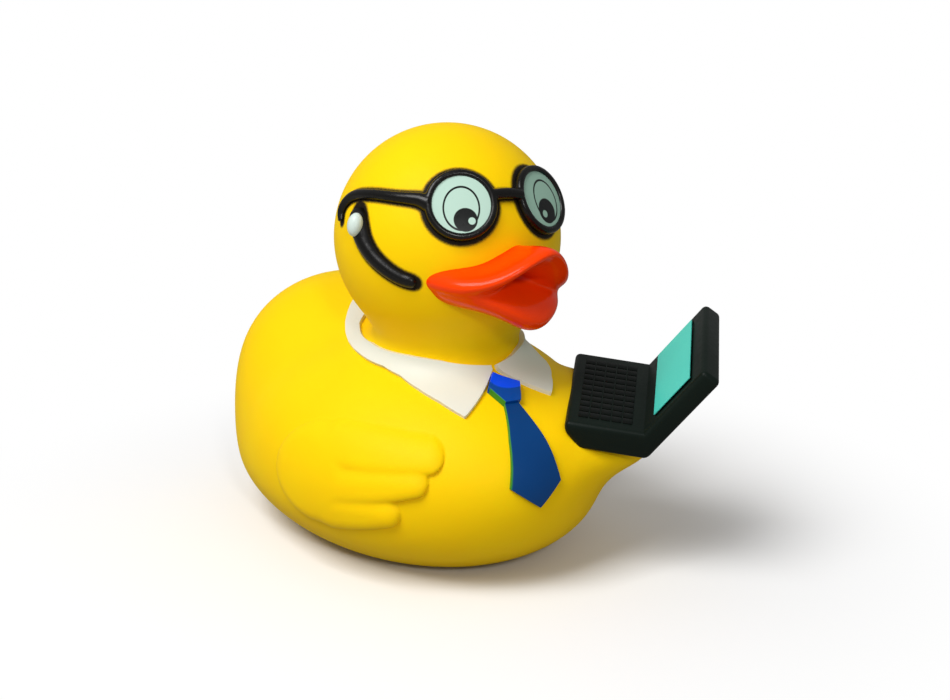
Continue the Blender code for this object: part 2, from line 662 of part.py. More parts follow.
def squeaker_housing(group, paint):
    """The squeaker's flanged barrel, open right through, with a bead that snaps over the boss."""
    foot, flange = SQUEAKER_RISE, SQUEAKER_RISE + FLANGE_HEIGHT
    bead = BOSS_HEIGHT + CLEARANCE
    top = SQUEAKER_RISE + BARREL_HEIGHT
    bm = bmesh.new()
    outline = (
        (BORE_RADIUS, flange), (BORE_RADIUS, top), (BARREL_RADIUS, top), (BARREL_RADIUS, bead + BEAD_HEIGHT),
        (BARREL_RADIUS + BEAD_WIDTH, bead + BEAD_HEIGHT / 2), (BARREL_RADIUS, bead), (BARREL_RADIUS, flange),
        (FLANGE_RADIUS, flange), (FLANGE_RADIUS, foot), (MOUTH_RADIUS, foot), (MOUTH_RADIUS, flange),
    )
    loop = [bm.verts.new((radius, 0, height)) for radius, height in outline]
    for first, second in zip(loop, loop[1:] + loop[:1]):
        bm.edges.new((first, second))
    item = new_object("squeaker_housing", bm, group, paint)
    item.location.y = SQUEAKER_PLACE
    screw = item.modifiers.new("Screw", "SCREW")
    screw.steps = screw.render_steps = TURN_STEPS
    screw.use_merge_vertices = True
    screw.merge_threshold = 0.00001


def reed_seat(group, guides, paint):
    """The plug in the barrel: its flat carries the reed over an air channel."""
    radius = BORE_RADIUS - CLEARANCE
    foot = SQUEAKER_RISE + FLANGE_HEIGHT + CLEARANCE
    top = foot + SEAT_HEIGHT
    profile = ((0, top), (radius, top), (radius, foot), (0, foot))
    item = turned("squeaker_reed_seat", profile, TURN_STEPS, group, paint)
    item.location.y = SQUEAKER_PLACE
    side = 2 * radius
    flat_centre = (SEAT_FLAT + side / 2, SQUEAKER_PLACE, foot + SEAT_FOOT + SEAT_HEIGHT / 2)
    flat = box("reed_flat", (side, side, SEAT_HEIGHT), flat_centre, guides)
    channel_x = SEAT_FLAT - CHANNEL_DEPTH / 2
    channel_height = SEAT_HEIGHT - SEAT_FOOT
    channel = box("air_channel", (CHANNEL_DEPTH, CHANNEL_WIDTH, channel_height + CLEARANCE),
                  (channel_x, SQUEAKER_PLACE, foot + (channel_height - CLEARANCE) / 2), guides)
    combine(item, "DIFFERENCE", flat)
    combine(item, "DIFFERENCE", channel)


def reed(group, paint):
    """The thin reed on its seat."""
    foot = SQUEAKER_RISE + FLANGE_HEIGHT + CLEARANCE + SEAT_FOOT + CLEARANCE
    height = SEAT_HEIGHT - SEAT_FOOT - 2 * CLEARANCE
    centre = (SEAT_FLAT + CLEARANCE + REED_THICKNESS / 2, SQUEAKER_PLACE, foot + height / 2)
    item = box("squeaker_reed", (REED_THICKNESS, REED_WIDTH, height), centre, group)
    item.hide_render = False
    item.display_type = "TEXTURED"
    item.data.materials.append(paint)


def main():
    """Build the duck and its squeaker."""
    clear_scene()
    parts = collection("rubber_duck")
    forms = collection("raised_forms")
    guides = collection("cutters")
    body = skin(parts, material("yellow_vinyl", (0.95, 0.6, 0.01), 0.4))
    bill(forms)
    glasses(forms)
    headset(forms)
    collar(forms)
    tie(forms)
    laptop(forms, guides)
    combine(body, "UNION", forms)
    combine(body, "DIFFERENCE", cavity(guides))
    squeaker_hole(body, guides)
    plastic = material("squeaker_plastic", (0.85, 0.85, 0.82), 0.35)
    squeaker_housing(parts, plastic)
    reed_seat(parts, guides, plastic)
    reed(parts, material("reed_film", (0.7, 0.72, 0.7), 0.3))


main()
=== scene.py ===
"""A squeaking vinyl duck at its desk, dressed for the studio.

The duck is one casting with sprayed colours. It faces -Y, its left side is +X, +Z is up, and the origin
lies on its flat base, straight below the centre of the head. Lengths are in metres and angles in degrees.
A bearing is measured from the duck's front toward its right, and a pitch from the level upward.
"""
import json
import logging
import math
from dataclasses import dataclass
from enum import Enum
from typing import Callable, Iterable, Sequence

import bmesh
import bpy
import numpy as np
from mathutils import Euler, Matrix, Vector

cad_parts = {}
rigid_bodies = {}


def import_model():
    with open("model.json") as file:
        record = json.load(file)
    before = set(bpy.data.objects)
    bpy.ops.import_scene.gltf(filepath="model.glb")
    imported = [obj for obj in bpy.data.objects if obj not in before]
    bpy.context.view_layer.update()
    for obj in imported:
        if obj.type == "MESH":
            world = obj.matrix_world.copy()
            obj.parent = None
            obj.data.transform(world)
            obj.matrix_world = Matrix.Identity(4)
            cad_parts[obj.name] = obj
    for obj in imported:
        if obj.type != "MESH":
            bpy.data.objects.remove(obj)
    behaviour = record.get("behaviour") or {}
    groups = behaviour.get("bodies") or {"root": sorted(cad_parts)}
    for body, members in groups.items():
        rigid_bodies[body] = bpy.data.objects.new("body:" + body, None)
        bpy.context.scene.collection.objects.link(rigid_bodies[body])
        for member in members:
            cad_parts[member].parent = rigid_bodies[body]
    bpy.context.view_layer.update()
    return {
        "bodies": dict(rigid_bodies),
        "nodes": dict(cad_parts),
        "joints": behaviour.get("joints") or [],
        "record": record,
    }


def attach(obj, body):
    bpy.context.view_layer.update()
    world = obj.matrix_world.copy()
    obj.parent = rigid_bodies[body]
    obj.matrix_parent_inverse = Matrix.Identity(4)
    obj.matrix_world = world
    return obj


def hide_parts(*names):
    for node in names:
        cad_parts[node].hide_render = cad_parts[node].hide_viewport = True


MM = 0.001
BODY = "root"
CASTING = "duck_body"
LOG = logging.getLogger("duck")

Triple = tuple[float, float, float]
Profile = Sequence[tuple[float, float]]
Edge = tuple[tuple[float, float], ...]


class Side(Enum):
    """The duck's own sides."""

    RIGHT = 1
    LEFT = -1


def linear(red: float, green: float, blue: float) -> Triple:
    """A screen colour, 0 to 255, as a linear one."""
    shares = [level / 255 for level in (red, green, blue)]
    return tuple(share / 12.92 if share <= 0.04045 else ((share + 0.055) / 1.055) ** 2.4 for share in shares)


def heading(bearing: np.ndarray, pitch: np.ndarray) -> np.ndarray:
    """Unit vectors for bearings and pitches in degrees.

    Args:
        bearing: Toward the duck's right.
        pitch: From the level upward.

    Returns:
        The vectors, one in each row.
    """
    bearing, pitch = np.radians(bearing), np.radians(pitch)
    level = np.cos(pitch)
    return np.stack([-np.sin(bearing) * level, -np.cos(bearing) * level, np.sin(pitch)], axis=-1)


def blend(first: np.ndarray, second: np.ndarray, reach: float) -> np.ndarray:
    """The nearer of two distances, with a round fillet where they are alike."""
    share = np.clip(0.5 + 0.5 * (second - first) / reach, 0, 1)
    return second + (first - second) * share - reach * share * (1 - share)


def smooth_step(value: np.ndarray) -> np.ndarray:
    """Zero below 0, one above 1, and a smooth rise between."""
    value = np.clip(value, 0, 1)
    return value**2 * (3 - 2 * value)


def smooth_path(knots: Sequence[Sequence[float]], steps: int) -> np.ndarray:
    """A Catmull-Rom curve.

    Args:
        knots: Rows of numbers that the curve passes through.
        steps: Points for each span.

    Returns:
        The curve's rows.
    """
    knots = np.array(knots, dtype=float)
    padded = np.vstack([2 * knots[0] - knots[1], knots, 2 * knots[-1] - knots[-2]])
    rows = []
    for a, b, c, d in zip(padded, padded[1:], padded[2:], padded[3:]):
        for t in np.arange(steps) / steps:
            rows.append(b + 0.5 * t * (c - a + t * (2 * a - 5 * b + 4 * c - d + t * (3 * (b - c) + d - a))))
    rows.append(knots[-1])
    return np.array(rows)


# Meshes


def points_of(bm: bmesh.types.BMesh) -> np.ndarray:
    """The vertices' places."""
    return np.array([vert.co for vert in bm.verts])


def move_points(bm: bmesh.types.BMesh, points: np.ndarray) -> None:
    """Put the vertices at the points."""
    for vert, point in zip(bm.verts, points):
        vert.co = Vector(point)


def sphere_rays(subdivisions: int) -> tuple[bmesh.types.BMesh, np.ndarray]:
    """A unit icosphere, and its vertices as rays.

    Args:
        subdivisions: How fine it is.

    Returns:
        The mesh, and a unit vector for each vertex.
    """
    bm = bmesh.new()
    bmesh.ops.create_icosphere(bm, subdivisions=subdivisions, radius=1.0)
    rays = points_of(bm)
    return bm, rays / np.linalg.norm(rays, axis=1)[:, None]


def spun(profile: Profile, steps: int, closed: bool = False) -> bmesh.types.BMesh:
    """A solid turned about Z.

    Args:
        profile: Its outline as (radius, height), from axis to axis, or a loop.
        steps: How many flats go round.
        closed: True if the outline is a loop that stays off the axis.

    Returns:
        The closed mesh, with its faces pointing out.
    """
    bm = bmesh.new()
    line = [bm.verts.new((radius, 0, height)) for radius, height in profile]
    ends = line[1:] + line[:1] if closed else line[1:]
    edges = [bm.edges.new(pair) for pair in zip(line, ends)]
    bmesh.ops.spin(
        bm, geom=line + edges, cent=(0, 0, 0), axis=(0, 0, 1), angle=2 * math.pi, steps=steps, use_merge=True
    )
    bmesh.ops.remove_doubles(bm, verts=bm.verts, dist=0.001 * MM)
    bmesh.ops.recalc_face_normals(bm, faces=bm.faces)
    return bm


def joined(meshes: Iterable[bmesh.types.BMesh]) -> bmesh.types.BMesh:
    """Several meshes as one; the given ones are freed.

    Args:
        meshes: The meshes.

    Returns:
        The one mesh.
    """
    whole = bmesh.new()
    for bm in meshes:
        mesh = bpy.data.meshes.new("piece")
        bm.to_mesh(mesh)
        bm.free()
        whole.from_mesh(mesh)
        bpy.data.meshes.remove(mesh)
    return whole


def swept(points: np.ndarray, radii: np.ndarray, sides: int) -> bmesh.types.BMesh:
    """A round bar.

    Args:
        points: Its middle line.
        radii: Its radius at each point.
        sides: How many flats go round.

    Returns:
        The closed mesh.
    """
    bm = bmesh.new()
    tangents = np.gradient(points, axis=0)
    tangents /= np.linalg.norm(tangents, axis=1)[:, None]
    up = np.array([0.0, 0.0, 1.0]) if abs(tangents[0][2]) < 0.9 else np.array([1.0, 0.0, 0.0])
    angles = np.arange(sides) * 2 * math.pi / sides
    ring = bmesh.ops.create_circle(bm, cap_ends=True, segments=sides, radius=1.0)["verts"]
    for number, (point, tangent, radius) in enumerate(zip(points, tangents, radii)):
        if number:
            edges = list({edge for vert in ring for edge in vert.link_edges if edge.other_vert(vert) in ring})
            made = bmesh.ops.extrude_edge_only(bm, edges=edges)["geom"]
            twins = {}
            for vert in (item for item in made if isinstance(item, bmesh.types.BMVert)):
                old = next(edge.other_vert(vert) for edge in vert.link_edges if edge.other_vert(vert) in ring)
                twins[old] = vert
            ring = [twins[vert] for vert in ring]
        across = np.cross(tangent, up)
        across /= np.linalg.norm(across)
        up = np.cross(across, tangent)
        for vert, angle in zip(ring, angles):
            vert.co = Vector(point + radius * (math.cos(angle) * across + math.sin(angle) * up))
    bm.faces.new(ring)
    bmesh.ops.recalc_face_normals(bm, faces=bm.faces)
    return bm


def fused(bm: bmesh.types.BMesh, voxel: float, passes: int) -> bmesh.types.BMesh:
    """Crossing solids as one skin with soft inner corners.

    Args:
        bm: The solids; freed.
        voxel: The size of the cells that the skin is drawn with.
        passes: How often the skin is smoothed.

    Returns:
        The one skin.
    """
    mesh = bpy.data.meshes.new("fused")
    bm.to_mesh(mesh)
    bm.free()
    item = bpy.data.objects.new("fused", mesh)
    bpy.context.scene.collection.objects.link(item)
    remesh = item.modifiers.new("Remesh", "REMESH")
    remesh.mode = "VOXEL"
    remesh.voxel_size = voxel
    result = bmesh.new()
    result.from_mesh(item.evaluated_get(bpy.context.evaluated_depsgraph_get()).to_mesh())
    bpy.data.objects.remove(item, do_unlink=True)
    for _ in range(passes):
        bmesh.ops.smooth_vert(
            result, verts=result.verts, factor=0.5, use_axis_x=True, use_axis_y=True, use_axis_z=True
        )
    return result


def add_piece(
    name: str,
    bm: bmesh.types.BMesh,
    paint: bpy.types.Material,
    sharp: float | None = None,
    floats: dict[str, np.ndarray] | None = None,
) -> bpy.types.Object:
    """Make a finished piece of the casting.

    Args:
        name: The piece's name.
        bm: Its mesh in place; freed.
        paint: Its material.
        sharp: The angle past which an edge stays sharp, or None for none.
        floats: Named values for each vertex.

    Returns:
        The object.
    """
    mesh = bpy.data.meshes.new(name)
    bm.to_mesh(mesh)
    bm.free()
    mesh.shade_smooth()
    if sharp is not None:
        mesh.set_sharp_from_angle(angle=math.radians(sharp))
    for label, values in (floats or {}).items():
        layer = mesh.attributes.new(label, "FLOAT", "POINT")
        layer.data.foreach_set("value", np.asarray(values, dtype=np.float32))
    mesh.materials.append(paint)
    item = bpy.data.objects.new(name, mesh)
    bpy.context.scene.collection.objects.link(item)
    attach(item, BODY)
    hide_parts(CASTING)
    LOG.info("%s: %d faces", name, len(mesh.polygons))
    return item


# Finishes


@dataclass
class Shader:
    """Short ways to place nodes in a material or a group."""

    tree: bpy.types.NodeTree

    def node(self, kind: str, **settings: object) -> bpy.types.Node:
        """A new node with its settings.

        Args:
            kind: The node's type.
            settings: Its own attributes.

        Returns:
            The node.
        """
        made = self.tree.nodes.new(kind)
        for key, value in settings.items():
            setattr(made, key, value)
        return made

    def feed(self, socket: bpy.types.NodeSocket, value: object) -> None:
        """Link a socket, or give it a number, a vector or a colour.

        Args:
            socket: The input.
            value: What it takes: another socket or a value.
        """
        if isinstance(value, bpy.types.NodeSocket):
            self.tree.links.new(value, socket)
        elif isinstance(value, (int, float)):
            socket.default_value = value
        else:
            value = tuple(value)
            if socket.type == "RGBA" and len(value) == 3:
                value += (1.0,)
            socket.default_value = value

    def maths(self, operation: str, *values: object, clamp: bool = False) -> bpy.types.NodeSocket:
        """The result of a sum on numbers.

        Args:
            operation: The sum.
            values: Its sockets or numbers, in order.
            clamp: True to keep the result from 0 to 1.

        Returns:
            The result's socket.
        """
        made = self.node("ShaderNodeMath", operation=operation, use_clamp=clamp)
        for socket, value in zip(made.inputs, values):
            self.feed(socket, value)
        return made.outputs[0]

    def ramp(
        self, value: object, low: float, high: float, start: float = 0.0, end: float = 1.0
    ) -> bpy.types.NodeSocket:
        """A smooth rise from start to end while the value goes from low to high.

        Args:
            value: The socket that is read.
            low: Where the rise begins.
            high: Where it ends.
            start: The result up to low.
            end: The result from high on.

        Returns:
            The result's socket.
        """
        made = self.node("ShaderNodeMapRange", interpolation_type="SMOOTHSTEP")
        names = ("Value", "From Min", "From Max", "To Min", "To Max")
        for name, item in zip(names, (value, low, high, start, end)):
            self.feed(made.inputs[name], item)
        return made.outputs["Result"]

    def mix(self, share: object, first: object, second: object) -> bpy.types.NodeSocket:
        """Two colours mixed by a share.

        Args:
            share: How much of the second there is.
            first: The first colour.
            second: The second colour.

        Returns:
            The mixed colour's socket.
        """
        made = self.node("ShaderNodeMix", data_type="RGBA")
        self.feed(made.inputs[0], share)
        self.feed(made.inputs[6], first)
        self.feed(made.inputs[7], second)
        return made.outputs[2]

    def noise(
        self, vector: object, scale: object, detail: float, roughness: float = 0.5
    ) -> bpy.types.NodeSocket:
        """A noise value.

        Args:
            vector: Where it is read.
            scale: How fine it is.
            detail: How many finer layers it has.
            roughness: How strong the finer layers are.

        Returns:
            The value's socket.
        """
        made = self.node("ShaderNodeTexNoise")
        names = ("Vector", "Scale", "Detail", "Roughness")
        for name, value in zip(names, (vector, scale, detail, roughness)):
            self.feed(made.inputs[name], value)
        return made.outputs["Fac"]

    def attribute(self, name: str) -> bpy.types.NodeSocket:
        """A named value of the mesh."""
        return self.node("ShaderNodeAttribute", attribute_name=name).outputs["Fac"]

    def place(self) -> bpy.types.NodeSocket:
        """The point's place on the object."""
        return self.node("ShaderNodeTexCoord").outputs["Object"]

    def group(self, tree: bpy.types.NodeTree, **values: object) -> bpy.types.Node:
        """A shared effect with its own values; underlines stand for spaces.

        Args:
            tree: The effect.
            values: What each of its inputs takes.

        Returns:
            The node.
        """
        made = self.node("ShaderNodeGroup", node_tree=tree)
        for name, value in values.items():
            self.feed(made.inputs[name.replace("_", " ")], value)
        return made


def new_group(
    name: str, inputs: Sequence[tuple[str, str, float]], outputs: Sequence[tuple[str, str]]
) -> Shader:
    """Start a shared effect.

    Args:
        name: Its name.
        inputs: Each input's name, socket type and default.
        outputs: Each output's name and socket type.

    Returns:
        A shader helper on its tree, whose first two nodes are the input and the output.
    """
    tree = bpy.data.node_groups.new(name, "ShaderNodeTree")
    for label, kind, default in inputs:
        socket = tree.interface.new_socket(label, in_out="INPUT", socket_type=kind)
        if kind == "NodeSocketFloat":
            socket.default_value = default
    for label, kind in outputs:
        tree.interface.new_socket(label, in_out="OUTPUT", socket_type=kind)
    shader = Shader(tree)
    shader.node("NodeGroupInput")
    shader.node("NodeGroupOutput")
    return shader


CLOUD_RELIEF = 4.0
SPRAY_BEGINS, SPRAY_COVERS = 0.3, 0.95


def moulded_group() -> bpy.types.NodeTree:
    """The faint unevenness of moulded and sprayed surfaces: cloudy tone, patchy gloss and fine relief.

    Returns:
        The group.
    """
    shader = new_group(
        "moulded_surface",
        (
            ("Place", "NodeSocketVector", 0), ("Cloud Scale", "NodeSocketFloat", 60),
            ("Grain Scale", "NodeSocketFloat", 900), ("Gloss", "NodeSocketFloat", 0.4),
            ("Patchiness", "NodeSocketFloat", 0.1),
        ),
        (("Cloud", "NodeSocketFloat"), ("Roughness", "NodeSocketFloat"), ("Height", "NodeSocketFloat")),
    )
    given, result = shader.tree.nodes[0].outputs, shader.tree.nodes[1].inputs
    cloud = shader.noise(given["Place"], given["Cloud Scale"], detail=3.0)
    grain = shader.noise(given["Place"], given["Grain Scale"], detail=4.0)
    shader.feed(result["Cloud"], cloud)
    patch = shader.maths("MULTIPLY", shader.maths("SUBTRACT", cloud, 0.5), given["Patchiness"])
    fine = shader.maths("MULTIPLY", shader.maths("SUBTRACT", grain, 0.5), given["Patchiness"])
    both = shader.maths("ADD", patch, fine)
    shader.feed(result["Roughness"], shader.maths("ADD", given["Gloss"], both, clamp=True))
    waves = shader.maths("MULTIPLY", cloud, CLOUD_RELIEF)
    shader.feed(result["Height"], shader.maths("ADD", grain, waves))
    return shader.tree


def spray_group() -> bpy.types.NodeTree:
    """Where stray spray lies: a soft mask broken into droplets along its rim.

    Returns:
        The group.
    """
    shader = new_group(
        "spray_rim",
        (
            ("Place", "NodeSocketVector", 0), ("Nearness", "NodeSocketFloat", 0),
            ("Droplet Scale", "NodeSocketFloat", 4500), ("Spread", "NodeSocketFloat", 0.35),
        ),
        (("Mask", "NodeSocketFloat"),),
    )
    given, result = shader.tree.nodes[0].outputs, shader.tree.nodes[1].inputs
    drops = shader.noise(given["Place"], given["Droplet Scale"], detail=3.0, roughness=0.7)
    broken = shader.maths("MULTIPLY", shader.maths("SUBTRACT", drops, 0.5), given["Spread"])
    near = shader.maths("ADD", given["Nearness"], broken)
    shader.feed(result["Mask"], shader.ramp(near, SPRAY_BEGINS, SPRAY_COVERS))
    return shader.tree


class Effects:
    """The shared shader groups."""

    def __init__(self) -> None:
        """Build each group once."""
        self.moulded = moulded_group()
        self.spray = spray_group()


@dataclass(frozen=True)
class Ground:
    """A surface before it is painted, for the finish that paints it."""

    shader: Shader
    effects: Effects
    place: bpy.types.NodeSocket
    tone: bpy.types.NodeSocket


@dataclass(frozen=True)
class Finish:
    """A moulded or sprayed finish."""

    name: str
    colour: Triple
    shade: Triple
    gloss: float = 0.35
    patchiness: float = 0.12
    coat: float = 0.0
    coat_gloss: float = 0.1
    specular: float = 0.35
    grain: float = 0.02 * MM
    grain_scale: float = 900.0
    cloud_scale: float = 60.0
    glow: float = 0.0
    glow_colour: Triple = (1.0, 0.5, 0.1)
    glow_depth: float = 1.5 * MM
    cloud_share: float = 0.5
    cloud_span: tuple[float, float] = (0.3, 0.7)

    def material(self, effects: Effects) -> bpy.types.Material:
        """The finish as a material.

        Args:
            effects: The shared effects.

        Returns:
            The material.
        """
        material = bpy.data.materials.new(self.name)
        material.use_nodes = True
        surface = material.node_tree.nodes["Principled BSDF"]
        surface.inputs["Specular IOR Level"].default_value = self.specular
        surface.inputs["Coat Weight"].default_value = self.coat
        surface.inputs["Coat Roughness"].default_value = self.coat_gloss
        surface.inputs["Subsurface Weight"].default_value = self.glow
        surface.inputs["Subsurface Radius"].default_value = self.glow_colour
        surface.inputs["Subsurface Scale"].default_value = self.glow_depth
        shader = Shader(material.node_tree)
        place = shader.place()
        moulded = self.moulded(shader, effects, place)
        ground = Ground(shader, effects, place, self.tone(shader, moulded))
        shader.feed(surface.inputs["Base Color"], self.painted(ground))
        return material

    def painted(self, ground: Ground) -> bpy.types.NodeSocket:
        """The colour that shows, which on a plain finish is its own tone."""
        return ground.tone

    def moulded(self, shader: Shader, effects: Effects, place: bpy.types.NodeSocket) -> bpy.types.Node:
        """Place the moulded effect, and feed the gloss and the relief.

        Args:
            shader: The helper on the material.
            effects: The shared effects.
            place: Where the surface is read.

        Returns:
            The effect's node.
        """
        surface = shader.tree.nodes["Principled BSDF"]
        moulded = shader.group(
            effects.moulded, Place=place, Cloud_Scale=self.cloud_scale, Grain_Scale=self.grain_scale,
            Gloss=self.gloss, Patchiness=self.patchiness,
        )
        shader.feed(surface.inputs["Roughness"], moulded.outputs["Roughness"])
        bump = shader.node("ShaderNodeBump")
        bump.inputs["Distance"].default_value = self.grain
        shader.feed(bump.inputs["Height"], moulded.outputs["Height"])
        shader.feed(surface.inputs["Normal"], bump.outputs["Normal"])
        return moulded

    def tone(self, shader: Shader, moulded: bpy.types.Node) -> bpy.types.NodeSocket:
        """The colour, which drifts between its two tones."""
        share = shader.ramp(moulded.outputs["Cloud"], *self.cloud_span, 0.0, self.cloud_share)
        return shader.mix(share, self.colour, self.shade)


@dataclass(frozen=True)
class SprayedSkin(Finish):
    """The duck's vinyl, with stray black spray round the forms painted black."""

    spray_colour: Triple = (0.012, 0.008, 0.004)

    def painted(self, ground: Ground) -> bpy.types.NodeSocket:
        """The tone under the stray spray.

        Args:
            ground: The surface before it is painted.

        Returns:
            The colour's socket.
        """
        near = ground.shader.attribute("spray")
        rim = ground.shader.group(ground.effects.spray, Place=ground.place, Nearness=near)
        return ground.shader.mix(rim.outputs["Mask"], ground.tone, self.spray_colour)


@dataclass(frozen=True)
class EyePrint(Finish):
    """The lens, with an eye printed on it: an outline, a pupil and a glint.

    A spot is its middle's two places and its radius, in shares of the lens's radius, and the outline has two
    radii. A fade is where a rim begins and ends, in the spot's radii, or in the line's width for the outline.
    """

    line_colour: Triple = (0.004, 0.005, 0.005)
    iris: tuple[float, float, float, float] = (0.0, -0.145, 0.61, 0.75)
    line: float = 0.075
    line_fade: tuple[float, float] = (0.5, 0.85)
    pupil: Triple = (0.15, -0.54, 0.41)
    pupil_fade: tuple[float, float] = (0.97, 1.03)
    glint: Triple = (0.365, -0.57, 0.125)
    glint_fade: tuple[float, float] = (0.92, 1.08)

    def painted(self, ground: Ground) -> bpy.types.NodeSocket:
        """The tone under the eye's ink.

        Args:
            ground: The surface before it is painted.

        Returns:
            The colour's socket.
        """
        shader = ground.shader
        across = shader.node("ShaderNodeSeparateXYZ")
        shader.feed(across.inputs[0], shader.node("ShaderNodeUVMap", uv_map="lens").outputs["UV"])
        outline = self.far(shader, across, (*self.iris[:2], 1.0), (self.iris[2], self.iris[3]))
        off = shader.maths("ABSOLUTE", shader.maths("SUBTRACT", outline, 1.0))
        ring = shader.ramp(off, self.line * self.line_fade[0], self.line * self.line_fade[1], 1.0, 0.0)
        pupil = shader.ramp(self.far(shader, across, self.pupil), *self.pupil_fade, 1.0, 0.0)
        glint = shader.ramp(self.far(shader, across, self.glint), *self.glint_fade, 1.0, 0.0)
        ink = shader.maths("MAXIMUM", ring, pupil)
        ink = shader.maths("MULTIPLY", ink, shader.maths("SUBTRACT", 1.0, glint))
        return shader.mix(ink, ground.tone, self.line_colour)

    def far(
        self, shader: Shader, across: bpy.types.Node, spot: Triple, radii: tuple[float, float] | None = None
    ) -> bpy.types.NodeSocket:
        """How far a point lies from a spot's middle, in the spot's own radii.

        Args:
            shader: The helper on the material.
            across: The node that splits the lens's flat map.
            spot: The spot.
            radii: Its width and height, or None for a round one.

        Returns:
            The distance's socket.
        """
        wide, high = radii or (spot[2], spot[2])
        parts = []
        for number, (middle, radius) in enumerate(((spot[0], wide), (spot[1], high))):
            centred = shader.maths("SUBTRACT", across.outputs[number], 0.5 + middle / 2)
            share = shader.maths("ABSOLUTE", shader.maths("DIVIDE", centred, radius / 2))
            parts.append(shader.maths("POWER", share, 2.0))
        return shader.maths("SQRT", shader.maths("ADD", *parts))


@dataclass(frozen=True)
class MaskedPaint(Finish):
    """A paint that turns into a darker tone, painted shade, where an attribute of the mesh says so."""

    mask: str = "mouth"
    painted_shade_colour: Triple = (0.2, 0.01, 0.0)

    def painted(self, ground: Ground) -> bpy.types.NodeSocket:
        """The tone, and the darker painted shade where the mesh says so."""
        return ground.shader.mix(ground.shader.attribute(self.mask), ground.tone, self.painted_shade_colour)


@dataclass(frozen=True)
class EdgedPaint(Finish):
    """A paint that thins out along an edge, with a brighter facet, a painted highlight, where the mesh's
    attribute says so.
    """

    edge_colour: Triple = (0.0, 0.2, 0.02)
    facet_highlight_colour: Triple = (0.0, 0.1, 0.8)
    droplet_scale: float = 900.0

    def painted(self, ground: Ground) -> bpy.types.NodeSocket:
        """The tone, its facet's painted highlight and its thin edge.

        Args:
            ground: The surface before it is painted.

        Returns:
            The colour's socket.
        """
        shader = ground.shader
        rim = shader.group(
            ground.effects.spray, Place=ground.place, Nearness=shader.attribute("edge"),
            Droplet_Scale=self.droplet_scale,
        )
        colour = shader.mix(shader.attribute("facet"), ground.tone, self.facet_highlight_colour)
        return shader.mix(rim.outputs["Mask"], colour, self.edge_colour)


@dataclass(frozen=True)
class Palette:
    """The duck's finishes."""

    vinyl: Finish = SprayedSkin(
        "yellow_vinyl", linear(255, 211, 0), linear(255, 204, 0), gloss=0.55, patchiness=0.08, specular=0.1,
        glow=0.12, glow_colour=(1.0, 0.5, 0.02), glow_depth=1.6 * MM,
    )
    # Inside the open mouth the bill is a darker red: painted shade in the mouth's hollow.
    bill: Finish = MaskedPaint(
        "bill_orange", linear(255, 66, 0), linear(253, 60, 0), gloss=0.22, specular=0.1, coat=0.14,
        coat_gloss=0.04, patchiness=0.05, mask="mouth", painted_shade_colour=linear(206, 28, 0),
    )
    frame: Finish = Finish(
        "frame_black", linear(8, 7, 6), linear(5, 4, 4), gloss=0.28, specular=0.32, patchiness=0.16,
        grain=0.05 * MM, grain_scale=700.0,
    )
    button: Finish = Finish(
        "button_white", linear(214, 228, 220), linear(204, 220, 212), gloss=0.3,
    )
    collar: Finish = Finish(
        "collar_white", linear(224, 225, 212), linear(218, 219, 204), gloss=0.45, specular=0.25,
        patchiness=0.1,
    )
    tie: Finish = EdgedPaint(
        "tie_blue", linear(0, 62, 122), linear(0, 54, 110), gloss=0.36, specular=0.2,
        edge_colour=linear(52, 136, 40),
    )
    # The knot's top facet is painted a brighter blue: a painted highlight where the light falls on it.
    knot: Finish = EdgedPaint(
        "knot_blue", linear(0, 74, 160), linear(0, 66, 148), gloss=0.3, specular=0.2,
        edge_colour=linear(52, 136, 40), facet_highlight_colour=linear(0, 80, 252),
    )
    case: Finish = Finish(
        "laptop_black", linear(17, 27, 22), linear(12, 20, 16), gloss=0.4, specular=0.1, patchiness=0.15,
        grain=0.03 * MM,
    )
    keys: Finish = Finish(
        "key_black", linear(7, 12, 9), linear(4, 8, 6), gloss=0.45, specular=0.12, patchiness=0.2,
    )
    screen: Finish = Finish(
        "screen_turquoise", linear(80, 218, 200), linear(72, 212, 194), gloss=0.25, specular=0.25,
        patchiness=0.02, grain=0.004 * MM,
    )
    squeaker: Finish = Finish(
        "squeaker_white", linear(232, 232, 224), linear(222, 222, 212), gloss=0.4, glow=0.1,
    )
    film: Finish = Finish("reed_film", linear(200, 204, 200), linear(190, 194, 190), gloss=0.2)
    right_eye: Finish = EyePrint(
        "right_lens", linear(188, 218, 203), linear(180, 210, 195), gloss=0.3, specular=0.25,
    )
    # The left lens has the right lens's tint made darker: painted shade, for the lens that faces away from
    # the key light.
    left_eye_painted_shade: Finish = EyePrint(
        "left_lens", linear(152, 188, 170), linear(144, 180, 162), gloss=0.3, specular=0.25,
        iris=(0.13, -0.08, 0.6, 0.74), pupil=(0.02, -0.45, 0.45), glint=(-0.14, -0.54, 0.13),
    )


# The duck


